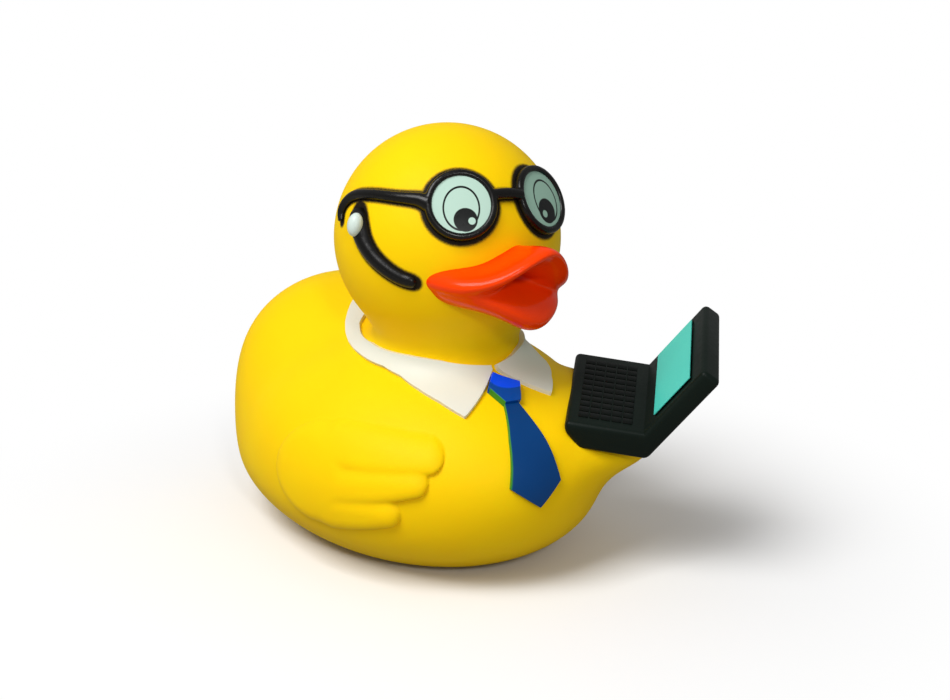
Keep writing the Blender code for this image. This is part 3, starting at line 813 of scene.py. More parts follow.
@dataclass
class DuckForm:
    """The duck's rounded main form, as lumps that flow into one another; the hand follows the laptop's frame.

    The palm is (bearing, height, half its length, half its height), and a feather is (its root's bearing and
    height, its tip's bearing and height, half its width). wing_degree is the skin's length for one degree.
    """

    laptop_at: Matrix
    head_radius: float = 21.8 * MM
    head_height: float = 62.2 * MM
    neck_radius: float = 13.2 * MM
    neck_height: float = 41.7 * MM
    neck_length: float = 26.0 * MM
    neck_blend: float = 5.0 * MM
    body_size: Triple = (66.0 * MM, 90.0 * MM, 46.0 * MM)
    body_place: Triple = (0.0, 11.0 * MM, 19.7 * MM)
    belly_size: Triple = (62.6 * MM, 87.0 * MM, 31.0 * MM)
    belly_place: Triple = (0.0, 14.0 * MM, 13.8 * MM)
    belly_blend: float = 6.0 * MM
    tail_size: Triple = (41.0 * MM, 33.4 * MM, 32.0 * MM)
    tail_place: Triple = (0.0, 40.0 * MM, 30.2 * MM)
    tail_blend: float = 14.0 * MM
    arm_size: Triple = (26.0 * MM, 24.0 * MM, 11.0 * MM)
    arm_place: Triple = (16.0 * MM, -23.0 * MM, 24.2 * MM)
    arm_turn: float = -35.0
    arm_blend: float = 7.0 * MM
    hand_size: Triple = (8.4 * MM, 22.0 * MM, 8.0 * MM)
    hand_place: Triple = (13.0 * MM, -1.5 * MM, -6.0 * MM)
    hand_blend: float = 5.0 * MM
    base_round: float = 2.0 * MM
    base_trim: float = 0.1 * MM
    ray_height: float = 37.2 * MM
    plate_ray_height: float = 26.2 * MM
    ray_reach: float = 90.0 * MM
    ray_halvings: int = 30
    face_lean: float = 4.3
    face_turn: float = -1.6
    wing_palm: tuple[float, float, float, float] = (89.0, 20.8 * MM, 17.6, 9.6 * MM)
    wing_feathers: tuple[tuple[float, float, float, float, float], ...] = (
        (81.0, 27.4 * MM, 41.2, 28.1 * MM, 4.0 * MM),
        (75.0, 20.3 * MM, 46.0, 23.5 * MM, 3.7 * MM),
        (80.0, 14.8 * MM, 56.0, 16.9 * MM, 3.8 * MM),
    )
    wing_ends: tuple[float, float] = (45.0, 100.0)
    wing_raises: tuple[float, float] = (1.8 * MM, 1.1 * MM)
    wing_taper: float = 0.25
    wing_blend: float = 1.3 * MM
    wing_edge: float = 3.0 * MM
    wing_degree: float = 0.53 * MM

    @staticmethod
    def lump(
        points: np.ndarray, centre: Triple | Vector, size: Triple, turn: np.ndarray | None = None
    ) -> np.ndarray:
        """Signed distance, nearly, to an ellipsoid, which a rotation may turn.

        Args:
            points: Where it is read.
            centre: The ellipsoid's middle.
            size: Its three widths.
            turn: Its rotation, or None.

        Returns:
            The distances, below zero inside.
        """
        local = points - np.array(centre)
        if turn is not None:
            local = local @ turn
        radii = np.array(size) / 2
        scaled = np.linalg.norm(local / radii, axis=1)
        slope = np.linalg.norm(local / radii**2, axis=1) + 1e-9
        return scaled * (scaled - 1) / slope

    def distance(self, points: np.ndarray) -> np.ndarray:
        """Signed distance, nearly, to the whole form.

        Args:
            points: Where it is read.

        Returns:
            The distances, below zero inside.
        """
        head = np.linalg.norm(points - np.array([0, 0, self.head_height]), axis=1) - self.head_radius
        neck_size = (2 * self.neck_radius, 2 * self.neck_radius, 2 * self.neck_length)
        neck = self.lump(points, (0, 0, self.neck_height), neck_size)
        belly = self.lump(points, self.belly_place, self.belly_size)
        body = blend(self.lump(points, self.body_place, self.body_size), belly, self.belly_blend)
        tail = self.lump(points, self.tail_place, self.tail_size)
        arm_turn = np.array(Matrix.Rotation(math.radians(self.arm_turn), 3, "Z"))
        arm = self.lump(points, self.arm_place, self.arm_size, arm_turn)
        hand_turn = np.array(self.laptop_at.to_3x3())
        hand = self.lump(points, self.laptop_at @ Vector(self.hand_place), self.hand_size, hand_turn)
        torso = blend(blend(body, tail, self.tail_blend), blend(arm, hand, self.hand_blend), self.arm_blend)
        whole = blend(blend(head, neck, self.neck_blend), torso, self.neck_blend)
        return -blend(-whole, points[:, 2] + self.base_trim, self.base_round)

    def reach(self, rays: np.ndarray, depth: float | np.ndarray, height: float) -> np.ndarray:
        """How far rays go from a point on the neck's axis before they are only the depth below the skin.

        Args:
            rays: Unit vectors.
            depth: The depth below the skin, for all rays or for each; below zero it is above.
            height: The height that the rays start at.

        Returns:
            The lengths.
        """
        start = np.array([0, 0, height])
        near, far = np.zeros(len(rays)), np.full(len(rays), self.ray_reach)
        for _ in range(self.ray_halvings):
            middle = (near + far) / 2
            outside = self.distance(start + rays * middle[:, None]) > -np.asarray(depth)
            far = np.where(outside, middle, far)
            near = np.where(outside, near, middle)
        return far

    def on_chest(self, bearing: np.ndarray, pitch: np.ndarray, depth: float | np.ndarray) -> np.ndarray:
        """Points at a depth below the skin, along rays from the middle of the chest.

        Args:
            bearing: The rays' bearings.
            pitch: Their pitches.
            depth: The depth, for all or for each.

        Returns:
            The points.
        """
        rays = heading(bearing, pitch)
        lengths = self.reach(rays, depth, self.plate_ray_height)
        return np.array([0, 0, self.plate_ray_height]) + rays * lengths[:, None]

    def from_face(self, offsets: np.ndarray) -> np.ndarray:
        """Points from their offsets to the head's centre in the leaning face's frame."""
        turn = Euler((0.0, math.radians(self.face_lean), math.radians(self.face_turn)), "XYZ").to_matrix()
        return np.array([0, 0, self.head_height]) + np.asarray(offsets) @ np.array(turn).T

    def on_head(self, bearing: np.ndarray, pitch: np.ndarray, lift: float | np.ndarray = 0.0) -> np.ndarray:
        """Points on the head, by bearing and pitch on the face."""
        reach = np.expand_dims(self.head_radius + np.asarray(lift), -1)
        return self.from_face(heading(bearing, pitch) * reach)

    def square_on_head(
        self, bearing: float, pitch: float, facing: float | None = None, lift: float = 0.0
    ) -> Matrix:
        """A frame on the head, with Z out of it and Y as near up as it can be.

        Args:
            bearing: Its place's bearing on the face.
            pitch: Its place's pitch.
            facing: The bearing that Z points at, or None for straight out.
            lift: How far it stands off the head.

        Returns:
            The frame.
        """
        facing = bearing if facing is None else facing
        middle = Vector((0, 0, self.head_height))
        out = (Vector(self.on_head(facing, pitch)) - middle).normalized()
        up = Vector(self.on_head(facing, pitch + 1.0) - self.on_head(facing, pitch))
        across = up.cross(out).normalized()
        frame = Matrix((across, out.cross(across), out)).transposed().to_4x4()
        return Matrix.Translation(Vector(self.on_head(bearing, pitch, lift))) @ frame

    def wing_relief(self, points: np.ndarray) -> np.ndarray:
        """How far the right wing, one raised shape with a rounded edge, stands out of the skin.

        Args:
            points: Points on the skin.

        Returns:
            The heights.
        """
        bearing = np.degrees(np.arctan2(-points[:, 0], -points[:, 1]))
        height = points[:, 2]
        palm_bearing, palm_height, half_length, half_height = self.wing_palm
        far = np.hypot((bearing - palm_bearing) / half_length, (height - palm_height) / half_height)
        inside = half_height * (1 - far)
        for root_bearing, root_height, tip_bearing, tip_height, half_width in self.wing_feathers:
            line = np.array([(tip_bearing - root_bearing) * self.wing_degree, tip_height - root_height])
            away = np.stack([(bearing - root_bearing) * self.wing_degree, height - root_height], axis=1)
            along = np.clip(away @ line / (line @ line), 0, 1)
            width = half_width * (1 - self.wing_taper * along**2)
            outside = np.linalg.norm(away - along[:, None] * line, axis=1) - width
            inside = -blend(-inside, outside, self.wing_blend)
        steepness = 1 - np.clip(inside / self.wing_edge, 0, 1)
        return np.interp(bearing, self.wing_ends, self.wing_raises) * np.sqrt(1 - steepness**2)


@dataclass
class Skin:
    """The casting's outer skin, with the wing in relief and the squeaker's recess in its base."""

    form: DuckForm
    subdivisions: int = 7
    recess_radius: float = 8.3 * MM
    recess_depth: float = 1.9 * MM
    recess_place: float = 16.0 * MM
    recess_steps: int = 64
    face_back: float = 12.0 * MM
    face_foot: float = 44.0 * MM
    wing_side: float = -15.0 * MM
    wing_heights: tuple[float, float] = (6.0 * MM, 34.0 * MM)
    wing_depths: tuple[float, float] = (-28.0 * MM, 14.0 * MM)
    spray_full: float = 0.15 * MM
    spray_reach: float = 1.1 * MM
    sharp: float = 50.0

    def place(self, rays: np.ndarray) -> np.ndarray:
        """Points on the skin along rays from inside the neck.

        Args:
            rays: Unit vectors.

        Returns:
            The points.
        """
        start = np.array([0, 0, self.form.ray_height])
        lengths = self.form.reach(rays, 0.0, self.form.ray_height)
        lengths += self.form.wing_relief(start + rays * lengths[:, None])
        return start + rays * lengths[:, None]

    def mesh(self) -> bmesh.types.BMesh:
        """The skin, finer on the head and on the wing.

        Returns:
            The closed mesh, before its base is cut.
        """
        bm, rays = sphere_rays(self.subdivisions)
        move_points(bm, self.place(rays))
        fine = [edge for edge in bm.edges if all(self.is_detailed(vert.co) for vert in edge.verts)]
        bmesh.ops.subdivide_edges(bm, edges=fine, cuts=1, use_grid_fill=True)
        rays = points_of(bm) - np.array([0, 0, self.form.ray_height])
        move_points(bm, self.place(rays / np.linalg.norm(rays, axis=1)[:, None]))
        return bm

    def is_detailed(self, place: Vector) -> bool:
        """Whether a point needs a finer mesh.

        Args:
            place: The point.

        Returns:
            True on the face and round the wing.
        """
        on_face = place.z > self.face_foot and place.y < self.face_back
        by_wing = self.wing_heights[0] < place.z < self.wing_heights[1]
        by_wing = by_wing and self.wing_depths[0] < place.y < self.wing_depths[1]
        return on_face or (by_wing and place.x < self.wing_side)

    def cut_base(self, bm: bmesh.types.BMesh) -> None:
        """Cut the base flat and sink the squeaker's recess into it.

        Args:
            bm: The skin.
        """
        everything = bm.verts[:] + bm.edges[:] + bm.faces[:]
        bmesh.ops.bisect_plane(bm, geom=everything, plane_co=(0, 0, 0), plane_no=(0, 0, 1), clear_inner=True)
        rim = [edge for edge in bm.edges if edge.is_boundary]
        place = Matrix.Translation((0, self.recess_place, 0))
        circle = bmesh.ops.create_circle(
            bm, segments=self.recess_steps, radius=self.recess_radius, matrix=place
        )["verts"]
        edges = list({edge for vert in circle for edge in vert.link_edges})
        bmesh.ops.triangle_fill(bm, use_beauty=True, use_dissolve=False, edges=rim + edges, normal=(0, 0, -1))
        wall = bmesh.ops.extrude_edge_only(bm, edges=edges)["geom"]
        top = [item for item in wall if isinstance(item, bmesh.types.BMVert)]
        bmesh.ops.translate(bm, verts=top, vec=(0, 0, self.recess_depth))
        bmesh.ops.contextual_create(bm, geom=[item for item in wall if isinstance(item, bmesh.types.BMEdge)])
        bmesh.ops.recalc_face_normals(bm, faces=bm.faces)

    def build(self, dark_lines: Sequence[tuple[np.ndarray, np.ndarray]], paint: bpy.types.Material) -> None:
        """Make the skin.

        Args:
            dark_lines: The middle lines of the forms painted black, each with its half width at each point.
            paint: The vinyl.
        """
        bm = self.mesh()
        self.cut_base(bm)
        points = points_of(bm)
        spray = np.zeros(len(points))
        for line, half_widths in dark_lines:
            for point, half_width in zip(line, half_widths):
                off = np.linalg.norm(points - point, axis=1) - half_width - self.spray_full
                spray = np.maximum(spray, np.clip(1 - off / self.spray_reach, 0, 1))
        add_piece("duck_skin", bm, paint, sharp=self.sharp, floats={"spray": spray})


@dataclass(frozen=True)
class Lip:
    """A lip's plate; each pair gives a value at the closed corners and one at the mouth's middle.

    The mouth's darker inner colour, painted shade, starts at margin, in degrees past the plate.
    """

    half_width: float
    front: float
    tilt: tuple[float, float]
    above: tuple[float, float]
    under: tuple[float, float]
    side: int
    margin: float


@dataclass
class Bill:
    """The open bill: two lips, as tilted plates with round edges that close toward the mouth's corners."""

    form: DuckForm
    place: Triple = (0.0, -15.0 * MM, -4.2 * MM)
    back: float = 7.4 * MM
    back_most: float = 8.4 * MM
    back_curve: float = 0.6
    back_least: float = 0.01
    back_rise: float = 0.2
    rise_pitch: float = 20.0
    rise_span: float = 30.0
    mouth_depth: float = 0.1
    mouth_pitch: float = 4.0
    mouth_span: float = 34.0
    mouth_start: float = 0.25
    mouth_fade: float = 8.0
    power: float = 7.0
    lip_power: float = 2.2
    mouth_bearing: float = -13.0
    mouth_half: float = 82.0
    mouth_sharpness: float = 1.8
    mouth_slant: float = 9.0
    upper: Lip = Lip(
        14.0 * MM, 15.6 * MM, (1.0, 28.5), (3.5 * MM, 3.7 * MM), (2.6 * MM, 1.5 * MM), side=1, margin=6.0
    )
    lower: Lip = Lip(
        13.0 * MM, 12.9 * MM, (-7.0, -23.5), (2.3 * MM, 3.4 * MM), (5.4 * MM, 5.0 * MM), side=-1, margin=24.0
    )
    subdivisions: int = 7

    def reach(self, rays: np.ndarray) -> tuple[np.ndarray, np.ndarray]:
        """How far the bill goes along rays from its centre.

        Args:
            rays: Unit vectors in the face's frame.

        Returns:
            The lengths, and how much each ray lies within the mouth, which takes the painted shade.
        """
        bearing = np.degrees(np.arctan2(-rays[:, 0], -rays[:, 1]))
        pitch = np.degrees(np.arcsin(np.clip(rays[:, 2], -1, 1)))
        sideways, forward = np.sin(np.radians(bearing)), np.cos(np.radians(bearing))
        opening = smooth_step(1 - np.abs(bearing - self.mouth_bearing) / self.mouth_half)
        opening = opening**self.mouth_sharpness
        back = self.back / np.maximum(-rays[:, 1], self.back_least) ** self.back_curve
        rise = self.back_rise * smooth_step((-pitch - self.rise_pitch) / self.rise_span)
        back = np.minimum(back, self.back_most) * (1 - rise)
        mouth = opening * smooth_step(1 - np.abs(pitch - self.mouth_pitch) / self.mouth_span)
        total = (back * (1 - self.mouth_depth * mouth)) ** self.power
        # The mouth's share, which the paint turns to its darker red: painted shade inside the mouth.
        within = smooth_step(opening / self.mouth_start)
        for lip in (self.upper, self.lower):
            pairs = (lip.tilt, lip.above, lip.under)
            tilt, above, under = (pair[0] + (pair[1] - pair[0]) * opening for pair in pairs)
            tilt = tilt - self.mouth_slant * (1 - sideways) / 2
            edge = 1 / np.hypot(sideways / lip.half_width, forward / lip.front) / np.cos(np.radians(tilt))
            off = np.sin(np.radians(pitch - tilt))
            across = np.abs(off) / np.where(off > 0, above, under)
            total += ((1 / edge) ** self.lip_power + across**self.lip_power) ** (-self.power / self.lip_power)
            within = within * smooth_step((lip.side * (tilt - pitch) - lip.margin) / self.mouth_fade)
        return total ** (1 / self.power), within

    def build(self, paint: bpy.types.Material) -> None:
        """Make the bill.

        Args:
            paint: Its material.
        """
        bm, rays = sphere_rays(self.subdivisions)
        lengths, within = self.reach(rays)
        move_points(bm, self.form.from_face(np.array(self.place) + rays * lengths[:, None]))
        # The mouth mask carries the painted shade inside the mouth.
        add_piece("bill", bm, paint, floats={"mouth": within})


@dataclass(frozen=True)
class HeadBar:
    """A bar that lies along the head: its (bearing, pitch, radius in mm) knots, and its lift."""

    knots: tuple[Triple, ...]
    lift: float
    steps: int = 10
    sides: int = 24

    def line(self, form: DuckForm, side: Side = Side.RIGHT) -> tuple[np.ndarray, np.ndarray]:
        """Its middle line and its radii.

        Args:
            form: The duck.
            side: The side that it lies on.

        Returns:
            The line's points, and the radius at each.
        """
        knots = [(side.value * bearing, pitch, radius) for bearing, pitch, radius in self.knots]
        rows = smooth_path(knots, self.steps)
        return form.on_head(rows[:, 0], rows[:, 1], self.lift), rows[:, 2] * MM

    def mesh(self, form: DuckForm, side: Side = Side.RIGHT) -> bmesh.types.BMesh:
        """The bar."""
        return swept(*self.line(form, side), self.sides)


@dataclass
class Glasses:
    """Round glasses moulded on the head: two ringed lenses, a bridge and two temples.

    A ring's slope and the points of its outer corner, inward and down, are shares of its soft edge.
    """

    form: DuckForm
    right: Triple = (27.1, 26.2, 27.1)
    left: Triple = (-26.3, 27.0, -20.0)
    lens_radius: float = 5.35 * MM
    lens_lift: float = 0.6 * MM
    ring_width: float = 1.3 * MM
    ring_lift: float = 0.95 * MM
    ring_edge: float = 0.45 * MM
    ring_depth: float = 3.0 * MM
    ring_lip: float = 0.6 * MM
    ring_slope: float = 0.6
    ring_corner: tuple[tuple[float, float], ...] = ((1.2, 0.0), (0.3, 0.5), (0.0, 1.5))
    ring_steps: int = 96
    voxel: float = 0.17 * MM
    smoothing: int = 4
    spray_drop: float = 0.9 * MM
    spray_spare: float = 0.3 * MM
    spray_steps: int = 90
    lens_cells: int = 72
    lens_spare: float = 0.25 * MM
    lens_crown: float = 0.25 * MM
    lens_sink: float = 0.15 * MM
    bridge: HeadBar = HeadBar(((-9.0, 30.4, 1.0), (0.0, 31.4, 1.05), (10.5, 31.0, 1.05)), 0.7 * MM)
    temple: HeadBar = HeadBar(
        (
            (43.6, 25.7, 1.75), (50.0, 27.1, 1.35), (61.0, 26.9, 1.1), (78.0, 26.0, 1.0), (92.0, 23.4, 1.0),
            (99.1, 19.0, 0.95), (101.7, 13.8, 0.9), (99.9, 8.6, 0.6),
        ),
        0.25 * MM,
    )

    def lens_at(self, side: Side) -> Matrix:
        """A lens's frame on the face."""
        return self.form.square_on_head(*(self.right if side is Side.RIGHT else self.left))

    def ring(self, side: Side) -> bmesh.types.BMesh:
        """One lens's ring.

        Args:
            side: The lens's side.

        Returns:
            The ring, in place.
        """
        outer, edge = self.lens_radius + self.ring_width, self.ring_edge
        corner = [(outer - edge * inward, self.ring_lift - edge * down) for inward, down in self.ring_corner]
        profile = (
            (self.lens_radius, self.lens_lift - self.ring_lip), (self.lens_radius, self.lens_lift),
            (self.lens_radius + edge * self.ring_slope, self.ring_lift), *corner,
            (outer, -self.ring_depth), (self.lens_radius, -self.ring_depth),
        )
        bm = spun(profile, self.ring_steps, closed=True)
        bmesh.ops.transform(bm, matrix=self.lens_at(side), verts=bm.verts)
        return bm

    def dark_lines(self) -> list[tuple[np.ndarray, np.ndarray]]:
        """The middle lines of the black forms, with their half widths.

        Returns:
            A line's points, and the half width at each, for every form.
        """
        lines = [self.temple.line(self.form, side) for side in Side]
        lines.append(self.bridge.line(self.form))
        turn = np.linspace(0, 2 * math.pi, self.spray_steps)
        radius = self.lens_radius + self.ring_width / 2
        drop = np.full(self.spray_steps, -self.spray_drop)
        rim = np.stack([np.cos(turn) * radius, np.sin(turn) * radius, drop], axis=1)
        for side in Side:
            ring = [self.lens_at(side) @ Vector(point) for point in rim]
            lines.append((np.array(ring), np.full(len(ring), self.ring_width / 2 + self.spray_spare)))
        return lines

    def lens(self, side: Side, paint: bpy.types.Material) -> None:
        """One lens: a gently domed disc with its own flat map.

        Args:
            side: The lens's side.
            paint: Its material.
        """
        bm = bmesh.new()
        bmesh.ops.create_grid(bm, x_segments=self.lens_cells, y_segments=self.lens_cells, size=1.0)
        square = points_of(bm)[:, :2]
        x, y = square[:, 0], square[:, 1]
        disc = np.stack([x * np.sqrt(1 - y**2 / 2), y * np.sqrt(1 - x**2 / 2)], axis=-1)
        far = np.linalg.norm(disc, axis=1)
        reach = self.lens_radius + self.lens_spare
        dome = self.lens_lift + self.lens_crown * (1 - far**2) - self.lens_sink
        frame = self.lens_at(side)
        layer = bm.loops.layers.uv.new("lens")
        for face in bm.faces:
            for loop in face.loops:
                flat = disc[loop.vert.index] * reach / self.lens_radius
                loop[layer].uv = (0.5 + flat[0] / 2, 0.5 + flat[1] / 2)
        move_points(bm, np.array([frame @ Vector((*(spot * reach), lift)) for spot, lift in zip(disc, dome)]))
        name = "right_lens" if side is Side.RIGHT else "left_lens"
        add_piece(name, bm, paint)

    def build(self, palette: Palette, effects: Effects) -> None:
        """Make the frame and the lenses.

        Args:
            palette: The finishes.
            effects: The shared effects.
        """
        parts = [self.ring(side) for side in Side] + [self.temple.mesh(self.form, side) for side in Side]
        parts.append(self.bridge.mesh(self.form))
        skin = fused(joined(parts), self.voxel, self.smoothing)
        add_piece("glasses_frame", skin, palette.frame.material(effects))
        self.lens(Side.RIGHT, palette.right_eye.material(effects))
        # The left lens's darker tint is painted shade.
        self.lens(Side.LEFT, palette.left_eye_painted_shade.material(effects))


@dataclass
class Headset:
    """The ear button and the microphone's boom, on the right side."""

    form: DuckForm
    boom: HeadBar = HeadBar(
        (
            (86.0, 17.4, 1.3), (84.6, 14.3, 2.0), (81.6, 9.2, 2.1), (76.9, 2.5, 1.85), (70.8, -3.4, 1.65),
            (63.4, -8.2, 1.5), (55.7, -11.7, 1.4), (49.4, -13.1, 1.25), (47.4, -13.4, 0.6),
        ),
        -0.35 * MM,
    )
    button_bearing: float = 80.8
    button_pitch: float = 10.2
    button_lift: float = 1.6 * MM
    button_size: Triple = (3.0 * MM, 4.4 * MM, 2.8 * MM)
    button_steps: tuple[int, int] = (48, 32)

    def build(self, palette: Palette, effects: Effects) -> None:
        """Make both pieces.

        Args:
            palette: The finishes.
            effects: The shared effects.
        """
        add_piece("headset_boom", self.boom.mesh(self.form), palette.frame.material(effects))
        bm = bmesh.new()
        round_steps, rise_steps = self.button_steps
        bmesh.ops.create_uvsphere(bm, u_segments=round_steps, v_segments=rise_steps, radius=0.5)
        bmesh.ops.scale(bm, verts=bm.verts, vec=self.button_size)
        frame = self.form.square_on_head(self.button_bearing, self.button_pitch, lift=self.button_lift)
        bmesh.ops.transform(bm, matrix=frame, verts=bm.verts)
        add_piece("ear_button", bm, palette.button.material(effects))


@dataclass
class Plate:
    """A plate that follows the chest's skin and stands a little out of it, with soft edges."""

    form: DuckForm
    name: str
    columns: int
    rows: int
    height: float
    sink: float = 1.0 * MM
    edge: float = 0.35 * MM
    edge_steps: int = 4
    edge_angle: float = 50.0

    def build(
        self,
        place: Callable[[np.ndarray, np.ndarray], tuple[np.ndarray, np.ndarray]],
        paint: bpy.types.Material,
        marks: dict[str, Callable[[np.ndarray, np.ndarray], np.ndarray]] | None = None,
    ) -> None:
        """Make the plate.

        Args:
            place: Turns grid shares, 0 to 1 each way, into bearings and pitches.
            paint: Its material.
            marks: Named values for the paint, each worked out from the grid shares.
        """
        bm = bmesh.new()
        bmesh.ops.create_grid(bm, x_segments=self.columns, y_segments=self.rows, size=0.5)
        shares = points_of(bm) + 0.5
        bearing, pitch = place(shares[:, 0], shares[:, 1])
        move_points(bm, self.form.on_chest(bearing, pitch, -self.height))
        bm.normal_update()
        bm.faces.ensure_lookup_table()
        face = bm.faces[len(bm.faces) // 2]
        if face.normal.dot(face.calc_center_median() - Vector((0, 0, self.form.plate_ray_height))) < 0:
            bmesh.ops.reverse_faces(bm, faces=bm.faces)
        floats = {label: mark(shares[:, 0], shares[:, 1]) for label, mark in (marks or {}).items()}
        item = add_piece(self.name, bm, paint, floats=floats)
        shell = item.modifiers.new("Solidify", "SOLIDIFY")
        shell.thickness = self.sink + self.height
        shell.offset = -1.0
        soft = item.modifiers.new("Bevel", "BEVEL")
        soft.width = self.edge
        soft.segments = self.edge_steps
        soft.limit_method = "ANGLE"
        soft.angle_limit = math.radians(self.edge_angle)


@dataclass
class Collar:
    """The shirt collar: a band round the neck that widens into two points at the front.

    Each knot is a bearing, the neck edge's pitch there and the free edge's pitch.
    """

    form: DuckForm
    raise_by: float = 0.8 * MM
    cells: tuple[int, int] = (360, 16)
    right: tuple[Triple, ...] = (
        (2.5, 42.4, 40.0), (27.0, 44.8, 17.6), (39.0, 46.1, 25.0), (51.0, 46.6, 30.7),
        (66.0, 46.8, 36.6), (82.0, 46.5, 39.1), (109.0, 45.8, 38.4), (124.5, 43.9, 37.2),
        (140.0, 41.5, 35.7), (150.0, 39.8, 35.2), (180.0, 39.4, 35.6),
    )
    left_front: tuple[Triple, ...] = ((2.5, 42.4, 40.0), (19.2, 44.2, 20.7), (32.0, 45.7, 25.9))

    def edge(self, bearing: np.ndarray, row: int) -> np.ndarray:
        """Pitches of the neck edge (row 1) or the free edge (row 2) at bearings from 0 to 360.

        Args:
            bearing: The bearings.
            row: The edge's row in a knot.

        Returns:
            The pitches.
        """
        right = np.array(self.right).T
        left = np.array(self.left_front + self.right[len(self.left_front):]).T
        on_right = np.interp(bearing, right[0], right[row])
        return np.where(bearing <= 180, on_right, np.interp(360 - bearing, left[0], left[row]))

    def place(self, along: np.ndarray, down: np.ndarray) -> tuple[np.ndarray, np.ndarray]:
        """Bearings and pitches for grid shares.

        Args:
            along: Shares of the way round.
            down: Shares from the neck edge to the free edge.

        Returns:
            The bearings, and the pitches.
        """
        first = self.right[0][0]
        bearing = first + along * (360 - 2 * first)
        top, bottom = self.edge(bearing, 1), self.edge(bearing, 2)
        return bearing, top + (bottom - top) * down

    def build(self, paint: bpy.types.Material) -> None:
        """Make the collar."""
        Plate(self.form, "collar", *self.cells, self.raise_by).build(self.place, paint)


@dataclass
class Tie:
    """The tie, which leans a little to the right: a blade, and a knot over its top."""

    form: DuckForm
    knot_right: Edge = ((5.0, 38.0), (12.4, 30.2), (7.8, 22.0))
    knot_left: Edge = ((-7.8, 30.0), (-3.6, 25.8), (-0.2, 21.8))
    knot_raise: float = 1.5 * MM
    right: Edge = ((7.0, 24.0), (11.9, 8.5), (14.8, -5.9))
    left: Edge = ((1.4, 24.0), (-1.0, 8.5), (-2.6, -5.6))
    tip: tuple[float, float] = (5.1, -12.7)
    knot_edge: float = 0.5 * MM
    knot_cells: tuple[int, int] = (24, 32)
    blade_raise: float = 0.9 * MM
    blade_cells: tuple[int, int] = (24, 60)
    thin_share: float = 0.05
    facet_foot: float = 0.5
    facet_curve: float = 0.16
    facet_fade: float = 0.05

    @staticmethod
    def between(left: Edge, right: Edge, across: np.ndarray, down: np.ndarray) -> np.ndarray:
        """Bearings and pitches between two edges that run from top to foot.

        Args:
            left: The left edge's points.
            right: The right edge's points.
            across: Grid shares from left to right.
            down: Grid shares from top to foot.

        Returns:
            The bearings, and the pitches.
        """
        shares = np.linspace(0, 1, len(left))
        first, second = (
            np.stack([np.interp(down, shares, column) for column in np.array(edge).T])
            for edge in (left, right)
        )
        return first + (second - first) * across

    def blade(self, across: np.ndarray, down: np.ndarray) -> np.ndarray:
        """Bearings and pitches for the blade's grid shares.

        Args:
            across: Grid shares from left to right.
            down: Grid shares from top to foot.

        Returns:
            The bearings, and the pitches.
        """
        foot = (np.array(self.left[-1]) + np.array(self.right[-1])) / 2
        point = (np.array(self.tip) - foot)[:, None] * down * (1 - np.abs(2 * across - 1))
        return self.between(self.left, self.right, across, down) + point

    def knot(self, across: np.ndarray, down: np.ndarray) -> np.ndarray:
        """Bearings and pitches for the knot's grid shares."""
        return self.between(self.knot_left, self.knot_right, across, down)

    def thin_edge(self, across: np.ndarray, down: np.ndarray) -> np.ndarray:
        """Nearness to the edge on the duck's right, where the blue thins out."""
        return np.clip(1 - (1 - across) / self.thin_share, 0, 1)

    def thin_foot(self, across: np.ndarray, down: np.ndarray) -> np.ndarray:
        """Nearness to that edge on the knot, where only the part below the facet thins out."""
        return self.thin_edge(across, down) * smooth_step((down - self.facet_foot) / (2 * self.facet_fade))

    def top_facet_highlight(self, across: np.ndarray, down: np.ndarray) -> np.ndarray:
        """One on the knot's top facet, whose lower edge is curved; there the blue is painted brighter, a
        painted highlight.
        """
        foot = self.facet_foot - self.facet_curve * (2 * across - 1) ** 2
        return smooth_step((foot - down) / self.facet_fade)

    def build(self, palette: Palette, effects: Effects) -> None:
        """Make both plates.

        Args:
            palette: The finishes.
            effects: The shared effects.
        """
        blade = Plate(self.form, "tie", *self.blade_cells, self.blade_raise)
        blade.build(self.blade, palette.tie.material(effects), {"edge": self.thin_edge})
        knot = Plate(self.form, "tie_knot", *self.knot_cells, self.knot_raise, edge=self.knot_edge)
        # The facet mark places the painted highlight on the knot's top.
        marks = {"edge": self.thin_foot, "facet": self.top_facet_highlight}
        knot.build(self.knot, palette.knot.material(effects), marks)


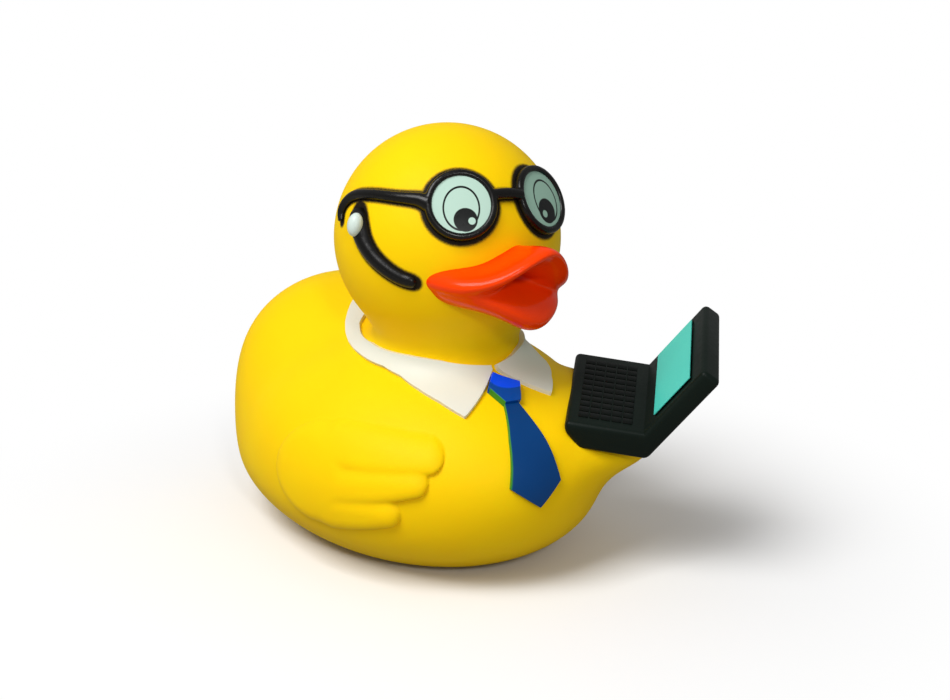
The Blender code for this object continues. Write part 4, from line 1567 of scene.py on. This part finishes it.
@dataclass
class Laptop:
    """The open laptop on the left arm.

    Its frame has X toward the user, Y along the hinge and Z out of the keys. A face
    counts as the lid's inner one where its normal's share along the lid's own is over flat_least.
    """

    place: Triple = (24.7 * MM, -31.1 * MM, 33.4 * MM)
    turn: Triple = (-11.0, -7.5, 139.0)
    width: float = 28.0 * MM
    depth: float = 14.6 * MM
    base: float = 5.5 * MM
    front: float = 2.2 * MM
    chamfer: float = 3.2 * MM
    opening: float = 120.0
    lid_height: float = 17.2 * MM
    lid_thickness: float = 4.0 * MM
    edge: float = 1.0 * MM
    edge_steps: int = 5
    sharp: float = 35.0
    flat_least: float = 0.999
    key_rows: int = 5
    key_columns: int = 11
    key_pitch: float = 2.07 * MM
    key_size: float = 1.82 * MM
    key_raise: float = 0.22 * MM
    key_edge: float = 0.14 * MM
    key_sharp: float = 40.0
    key_field: float = 7.3 * MM
    screen_size: tuple[float, float] = (23.6 * MM, 10.4 * MM)
    screen_place: float = 8.5 * MM
    screen_depth: float = 0.4 * MM
    screen_gap: float = 0.2 * MM
    screen_sheet: float = 0.2 * MM
    screen_lift: float = 0.02 * MM
    screen_inset: float = 0.12 * MM
    screen_edge: float = 0.06 * MM

    def frame(self) -> Matrix:
        """Where the hinge lies and how it is turned."""
        turn = Euler([math.radians(angle) for angle in self.turn], "XYZ")
        return Matrix.Translation(self.place) @ turn.to_matrix().to_4x4()

    def lid_frame(self) -> Matrix:
        """The lid's own frame: X up the lid, and Z out of the screen."""
        return self.frame() @ Matrix.Rotation(-math.radians(self.opening), 4, "Y")

    def outline(self) -> Profile:
        """The side outline, as (toward the user, up from the keyboard).

        Returns:
            The outline's corners, from the hinge round under the keys to the lid's top.
        """
        lid = np.array([math.cos(math.radians(self.opening)), math.sin(math.radians(self.opening))])
        top = lid * self.lid_height
        top_back = top + np.array([-lid[1], lid[0]]) * self.lid_thickness
        heel = top_back - lid * (top_back[1] + self.base) / lid[1]
        nose = ((self.depth, 0), (self.depth, -self.front), (self.depth - self.chamfer, -self.base))
        return (0, 0), *nose, tuple(heel), tuple(top_back), tuple(top)

    def case(self, paint: bpy.types.Material) -> None:
        """The case, with soft edges and a sunken bed for the screen.

        Args:
            paint: Its material.
        """
        bm = bmesh.new()
        side = [bm.verts.new((x, -self.width / 2, z)) for x, z in self.outline()]
        bm.faces.new(side)
        swept_out = bmesh.ops.extrude_face_region(bm, geom=bm.faces[:])["geom"]
        moved = [item for item in swept_out if isinstance(item, bmesh.types.BMVert)]
        bmesh.ops.translate(bm, verts=moved, vec=(0, self.width, 0))
        bmesh.ops.recalc_face_normals(bm, faces=bm.faces)
        hinge = [edge for edge in bm.edges if all(vert.co.xz.length < 0.01 * MM for vert in edge.verts)]
        soft = [edge for edge in bm.edges if edge not in hinge]
        bmesh.ops.bevel(
            bm, geom=soft, offset=self.edge, segments=self.edge_steps, profile=0.5, affect="EDGES",
            material=-1, clamp_overlap=True,
        )
        self.sink_screen(bm)
        bmesh.ops.transform(bm, matrix=self.frame(), verts=bm.verts)
        add_piece("laptop_case", bm, paint, sharp=self.sharp)

    def sink_screen(self, bm: bmesh.types.BMesh) -> None:
        """Inset the lid's inner face and push the bed down.

        Args:
            bm: The case, in its own frame.
        """
        turn = math.radians(self.opening)
        out = Vector((math.sin(turn), 0, -math.cos(turn)))
        lid = Vector((math.cos(turn), 0, math.sin(turn)))
        spot = lid * self.screen_place
        width, height = self.screen_size
        flat = [item for item in bm.faces if item.normal.dot(out) > self.flat_least]
        face = max(flat, key=lambda item: item.calc_area())
        spans = ((self.screen_place, height / 2, lid), (0.0, width / 2, Vector((0, 1, 0))))
        for middle, half, along in spans:
            for end in (middle - half, middle + half):
                geom = [face, *face.edges, *face.verts]
                cut = bmesh.ops.bisect_plane(bm, geom=geom, plane_co=along * end, plane_no=along)["geom_cut"]
                edges = [item for item in cut if isinstance(item, bmesh.types.BMEdge)]
                faces = {item for edge in edges for item in edge.link_faces}
                flat = [item for item in faces if item.normal.dot(out) > self.flat_least]
                face = min(flat, key=lambda item: (item.calc_center_median() - spot).length)
        bmesh.ops.inset_region(bm, faces=[face], thickness=self.screen_inset, depth=0.0, use_even_offset=True)
        bmesh.ops.translate(bm, verts=list(face.verts), vec=out * -self.screen_depth)

    def screen(self, paint: bpy.types.Material) -> None:
        """The screen's panel, a hair above the bed.

        Args:
            paint: Its material.
        """
        bm = bmesh.new()
        bmesh.ops.create_cube(bm, size=1.0)
        width, height = (size - self.screen_gap for size in self.screen_size)
        bmesh.ops.scale(bm, verts=bm.verts, vec=(height, width, self.screen_sheet))
        top = [edge for edge in bm.edges if all(vert.co.z > 0 for vert in edge.verts)]
        bmesh.ops.bevel(
            bm, geom=top, offset=self.screen_edge, segments=2, profile=0.5, affect="EDGES", material=-1
        )
        lift = Matrix.Translation((self.screen_place, 0, self.screen_lift - self.screen_depth))
        bmesh.ops.transform(bm, matrix=self.lid_frame() @ lift, verts=bm.verts)
        add_piece("laptop_screen", bm, paint, sharp=self.sharp)

    def keys(self, paint: bpy.types.Material) -> None:
        """The rows of keys, with soft tops.

        Args:
            paint: Its material.
        """
        meshes = []
        for row in range(self.key_rows):
            for column in range(self.key_columns):
                bm = bmesh.new()
                bmesh.ops.create_cube(bm, size=1.0)
                bmesh.ops.scale(bm, verts=bm.verts, vec=(self.key_size, self.key_size, 2 * self.key_raise))
                top = [edge for edge in bm.edges if any(vert.co.z > 0 for vert in edge.verts)]
                bmesh.ops.bevel(
                    bm, geom=top, offset=self.key_edge, segments=2, profile=0.5, affect="EDGES", material=-1
                )
                x = self.key_field + self.key_pitch * (row - (self.key_rows - 1) / 2)
                y = self.key_pitch * (column - (self.key_columns - 1) / 2)
                bmesh.ops.translate(bm, verts=bm.verts, vec=(x, y, 0))
                meshes.append(bm)
        bm = joined(meshes)
        bmesh.ops.transform(bm, matrix=self.frame(), verts=bm.verts)
        add_piece("laptop_keys", bm, paint, sharp=self.key_sharp)

    def build(self, palette: Palette, effects: Effects) -> None:
        """Make the case, the keys and the screen.

        Args:
            palette: The finishes.
            effects: The shared effects.
        """
        self.case(palette.case.material(effects))
        self.keys(palette.keys.material(effects))
        self.screen(palette.screen.material(effects))


@dataclass
class Squeaker:
    """The squeaker in the base, which shows the frame's own solids: barrel, reed seat and reed."""

    nodes: dict[str, bpy.types.Object]

    def build(self, palette: Palette, effects: Effects) -> None:
        """Dress the solids.

        Args:
            palette: The finishes.
            effects: The shared effects.
        """
        finishes = (palette.squeaker, palette.squeaker, palette.film)
        for node, finish in zip(("squeaker_housing", "squeaker_reed_seat", "squeaker_reed"), finishes):
            materials = self.nodes[node].data.materials
            materials.clear()
            materials.append(finish.material(effects))


@dataclass(frozen=True)
class Lamp:
    """A square soft light."""

    name: str
    place: Triple
    size: float
    power: float


@dataclass
class Studio:
    """The camera at the photograph's view, a pale floor, and soft lights."""

    azimuth: float = -35.0
    elevation: float = 17.0
    lens: float = 65.0
    distance: float = 330.0 * MM
    aim: Triple = (0.0, 0.0, 62.2 * MM)
    aim_pixel: tuple[float, float] = (447.5, 236.5)
    frame: tuple[int, int] = (950, 700)
    sensor: float = 36.0
    clip_start: float = 0.01
    lamp_aim: Triple = (0.0, 0.0, 0.04)
    lamps: tuple[Lamp, ...] = (
        Lamp("key", (-0.48, -0.1, 0.7), 0.45, 6.0),
        Lamp("glint", (-0.3, -0.68, 0.42), 0.08, 1.2),
    )
    world_light: float = 0.3
    world_gloss: float = 0.12
    floor_half: float = 3.0
    floor_seen: Triple = (0.95, 0.95, 0.95)
    floor_unseen: Triple = (0.38, 0.37, 0.34)
    floor_fade: tuple[float, float] = (0.045, 0.115)
    floor_gloss: float = 0.9

    def camera(self) -> None:
        """Place the camera so that the head's centre falls on its pixel."""
        turn, rise = math.radians(self.azimuth), math.radians(self.elevation)
        back = Vector((math.sin(turn) * math.cos(rise), -math.cos(turn) * math.cos(rise), math.sin(rise)))
        right = Vector((math.cos(turn), math.sin(turn), 0))
        up = back.cross(right)
        pixels = self.lens / self.sensor * self.frame[0]
        aside = (self.aim_pixel[0] - self.frame[0] / 2) / pixels * self.distance
        above = (self.frame[1] / 2 - self.aim_pixel[1]) / pixels * self.distance
        data = bpy.data.cameras.new("camera")
        data.lens, data.sensor_width, data.clip_start = self.lens, self.sensor, self.clip_start
        item = bpy.data.objects.new("camera", data)
        bpy.context.scene.collection.objects.link(item)
        place = Vector(self.aim) - right * aside - up * above + back * self.distance
        item.matrix_world = Matrix.Translation(place) @ Matrix((right, up, back)).transposed().to_4x4()
        bpy.context.scene.camera = item

    def light(self, lamp: Lamp) -> None:
        """Place a lamp so that it faces the duck.

        Args:
            lamp: The lamp.
        """
        data = bpy.data.lights.new(lamp.name, "AREA")
        data.energy, data.size = lamp.power, lamp.size
        item = bpy.data.objects.new(lamp.name, data)
        bpy.context.scene.collection.objects.link(item)
        item.location = lamp.place
        item.rotation_euler = (Vector(self.lamp_aim) - item.location).to_track_quat("-Z", "Y").to_euler()

    def world(self) -> None:
        """White behind the duck and in its gloss, and a soft grey light on it."""
        world = bpy.data.worlds.new("studio")
        world.use_nodes = True
        bpy.context.scene.world = world
        shader = Shader(world.node_tree)
        background = world.node_tree.nodes["Background"]
        path = shader.node("ShaderNodeLightPath")
        seen = shader.maths("MAXIMUM", path.outputs["Is Camera Ray"], path.outputs["Is Transmission Ray"])
        gloss = shader.maths("MULTIPLY", path.outputs["Is Glossy Ray"], self.world_gloss)
        seen = shader.maths("MAXIMUM", seen, gloss)
        shader.feed(background.inputs["Color"], (1.0, 1.0, 1.0))
        shader.feed(background.inputs["Strength"], shader.ramp(seen, 0.0, 1.0, self.world_light, 1.0))

    def floor(self) -> None:
        """A pale floor that fades into the white round it."""
        bm = bmesh.new()
        bmesh.ops.create_grid(bm, x_segments=2, y_segments=2, size=self.floor_half)
        mesh = bpy.data.meshes.new("floor")
        bm.to_mesh(mesh)
        bm.free()
        item = bpy.data.objects.new("floor", mesh)
        bpy.context.scene.collection.objects.link(item)
        material = bpy.data.materials.new("floor_white")
        material.use_nodes = True
        shader = Shader(material.node_tree)
        surface = material.node_tree.nodes["Principled BSDF"]
        surface.inputs["Roughness"].default_value = self.floor_gloss
        far = shader.node("ShaderNodeVectorMath", operation="LENGTH")
        shader.feed(far.inputs[0], shader.place())
        share = shader.ramp(far.outputs["Value"], *self.floor_fade)
        glow = shader.node("ShaderNodeEmission")
        seen = shader.node("ShaderNodeLightPath").outputs["Is Camera Ray"]
        shader.feed(surface.inputs["Base Color"], shader.mix(seen, self.floor_unseen, self.floor_seen))
        fade = shader.node("ShaderNodeMixShader")
        shader.feed(fade.inputs[0], shader.maths("MULTIPLY", share, seen))
        shader.feed(fade.inputs[1], surface.outputs[0])
        shader.feed(fade.inputs[2], glow.outputs[0])
        shader.feed(material.node_tree.nodes["Material Output"].inputs["Surface"], fade.outputs[0])
        mesh.materials.append(material)

    def build(self) -> None:
        """Set up the whole studio."""
        self.camera()
        self.world()
        self.floor()
        for lamp in self.lamps:
            self.light(lamp)
        bpy.context.scene.view_settings.view_transform = "Standard"


def main() -> None:
    """Build the duck and its studio."""
    logging.basicConfig(level=logging.INFO, format="%(message)s")
    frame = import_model()
    laptop = Laptop()
    palette, effects, form = Palette(), Effects(), DuckForm(laptop.frame())
    glasses, headset = Glasses(form), Headset(form)
    dark = glasses.dark_lines() + [headset.boom.line(form)]
    Skin(form).build(dark, palette.vinyl.material(effects))
    Bill(form).build(palette.bill.material(effects))
    glasses.build(palette, effects)
    headset.build(palette, effects)
    Collar(form).build(palette.collar.material(effects))
    Tie(form).build(palette, effects)
    laptop.build(palette, effects)
    Squeaker(frame["nodes"]).build(palette, effects)
    Studio().build()


if __name__ == "__main__":
    main()
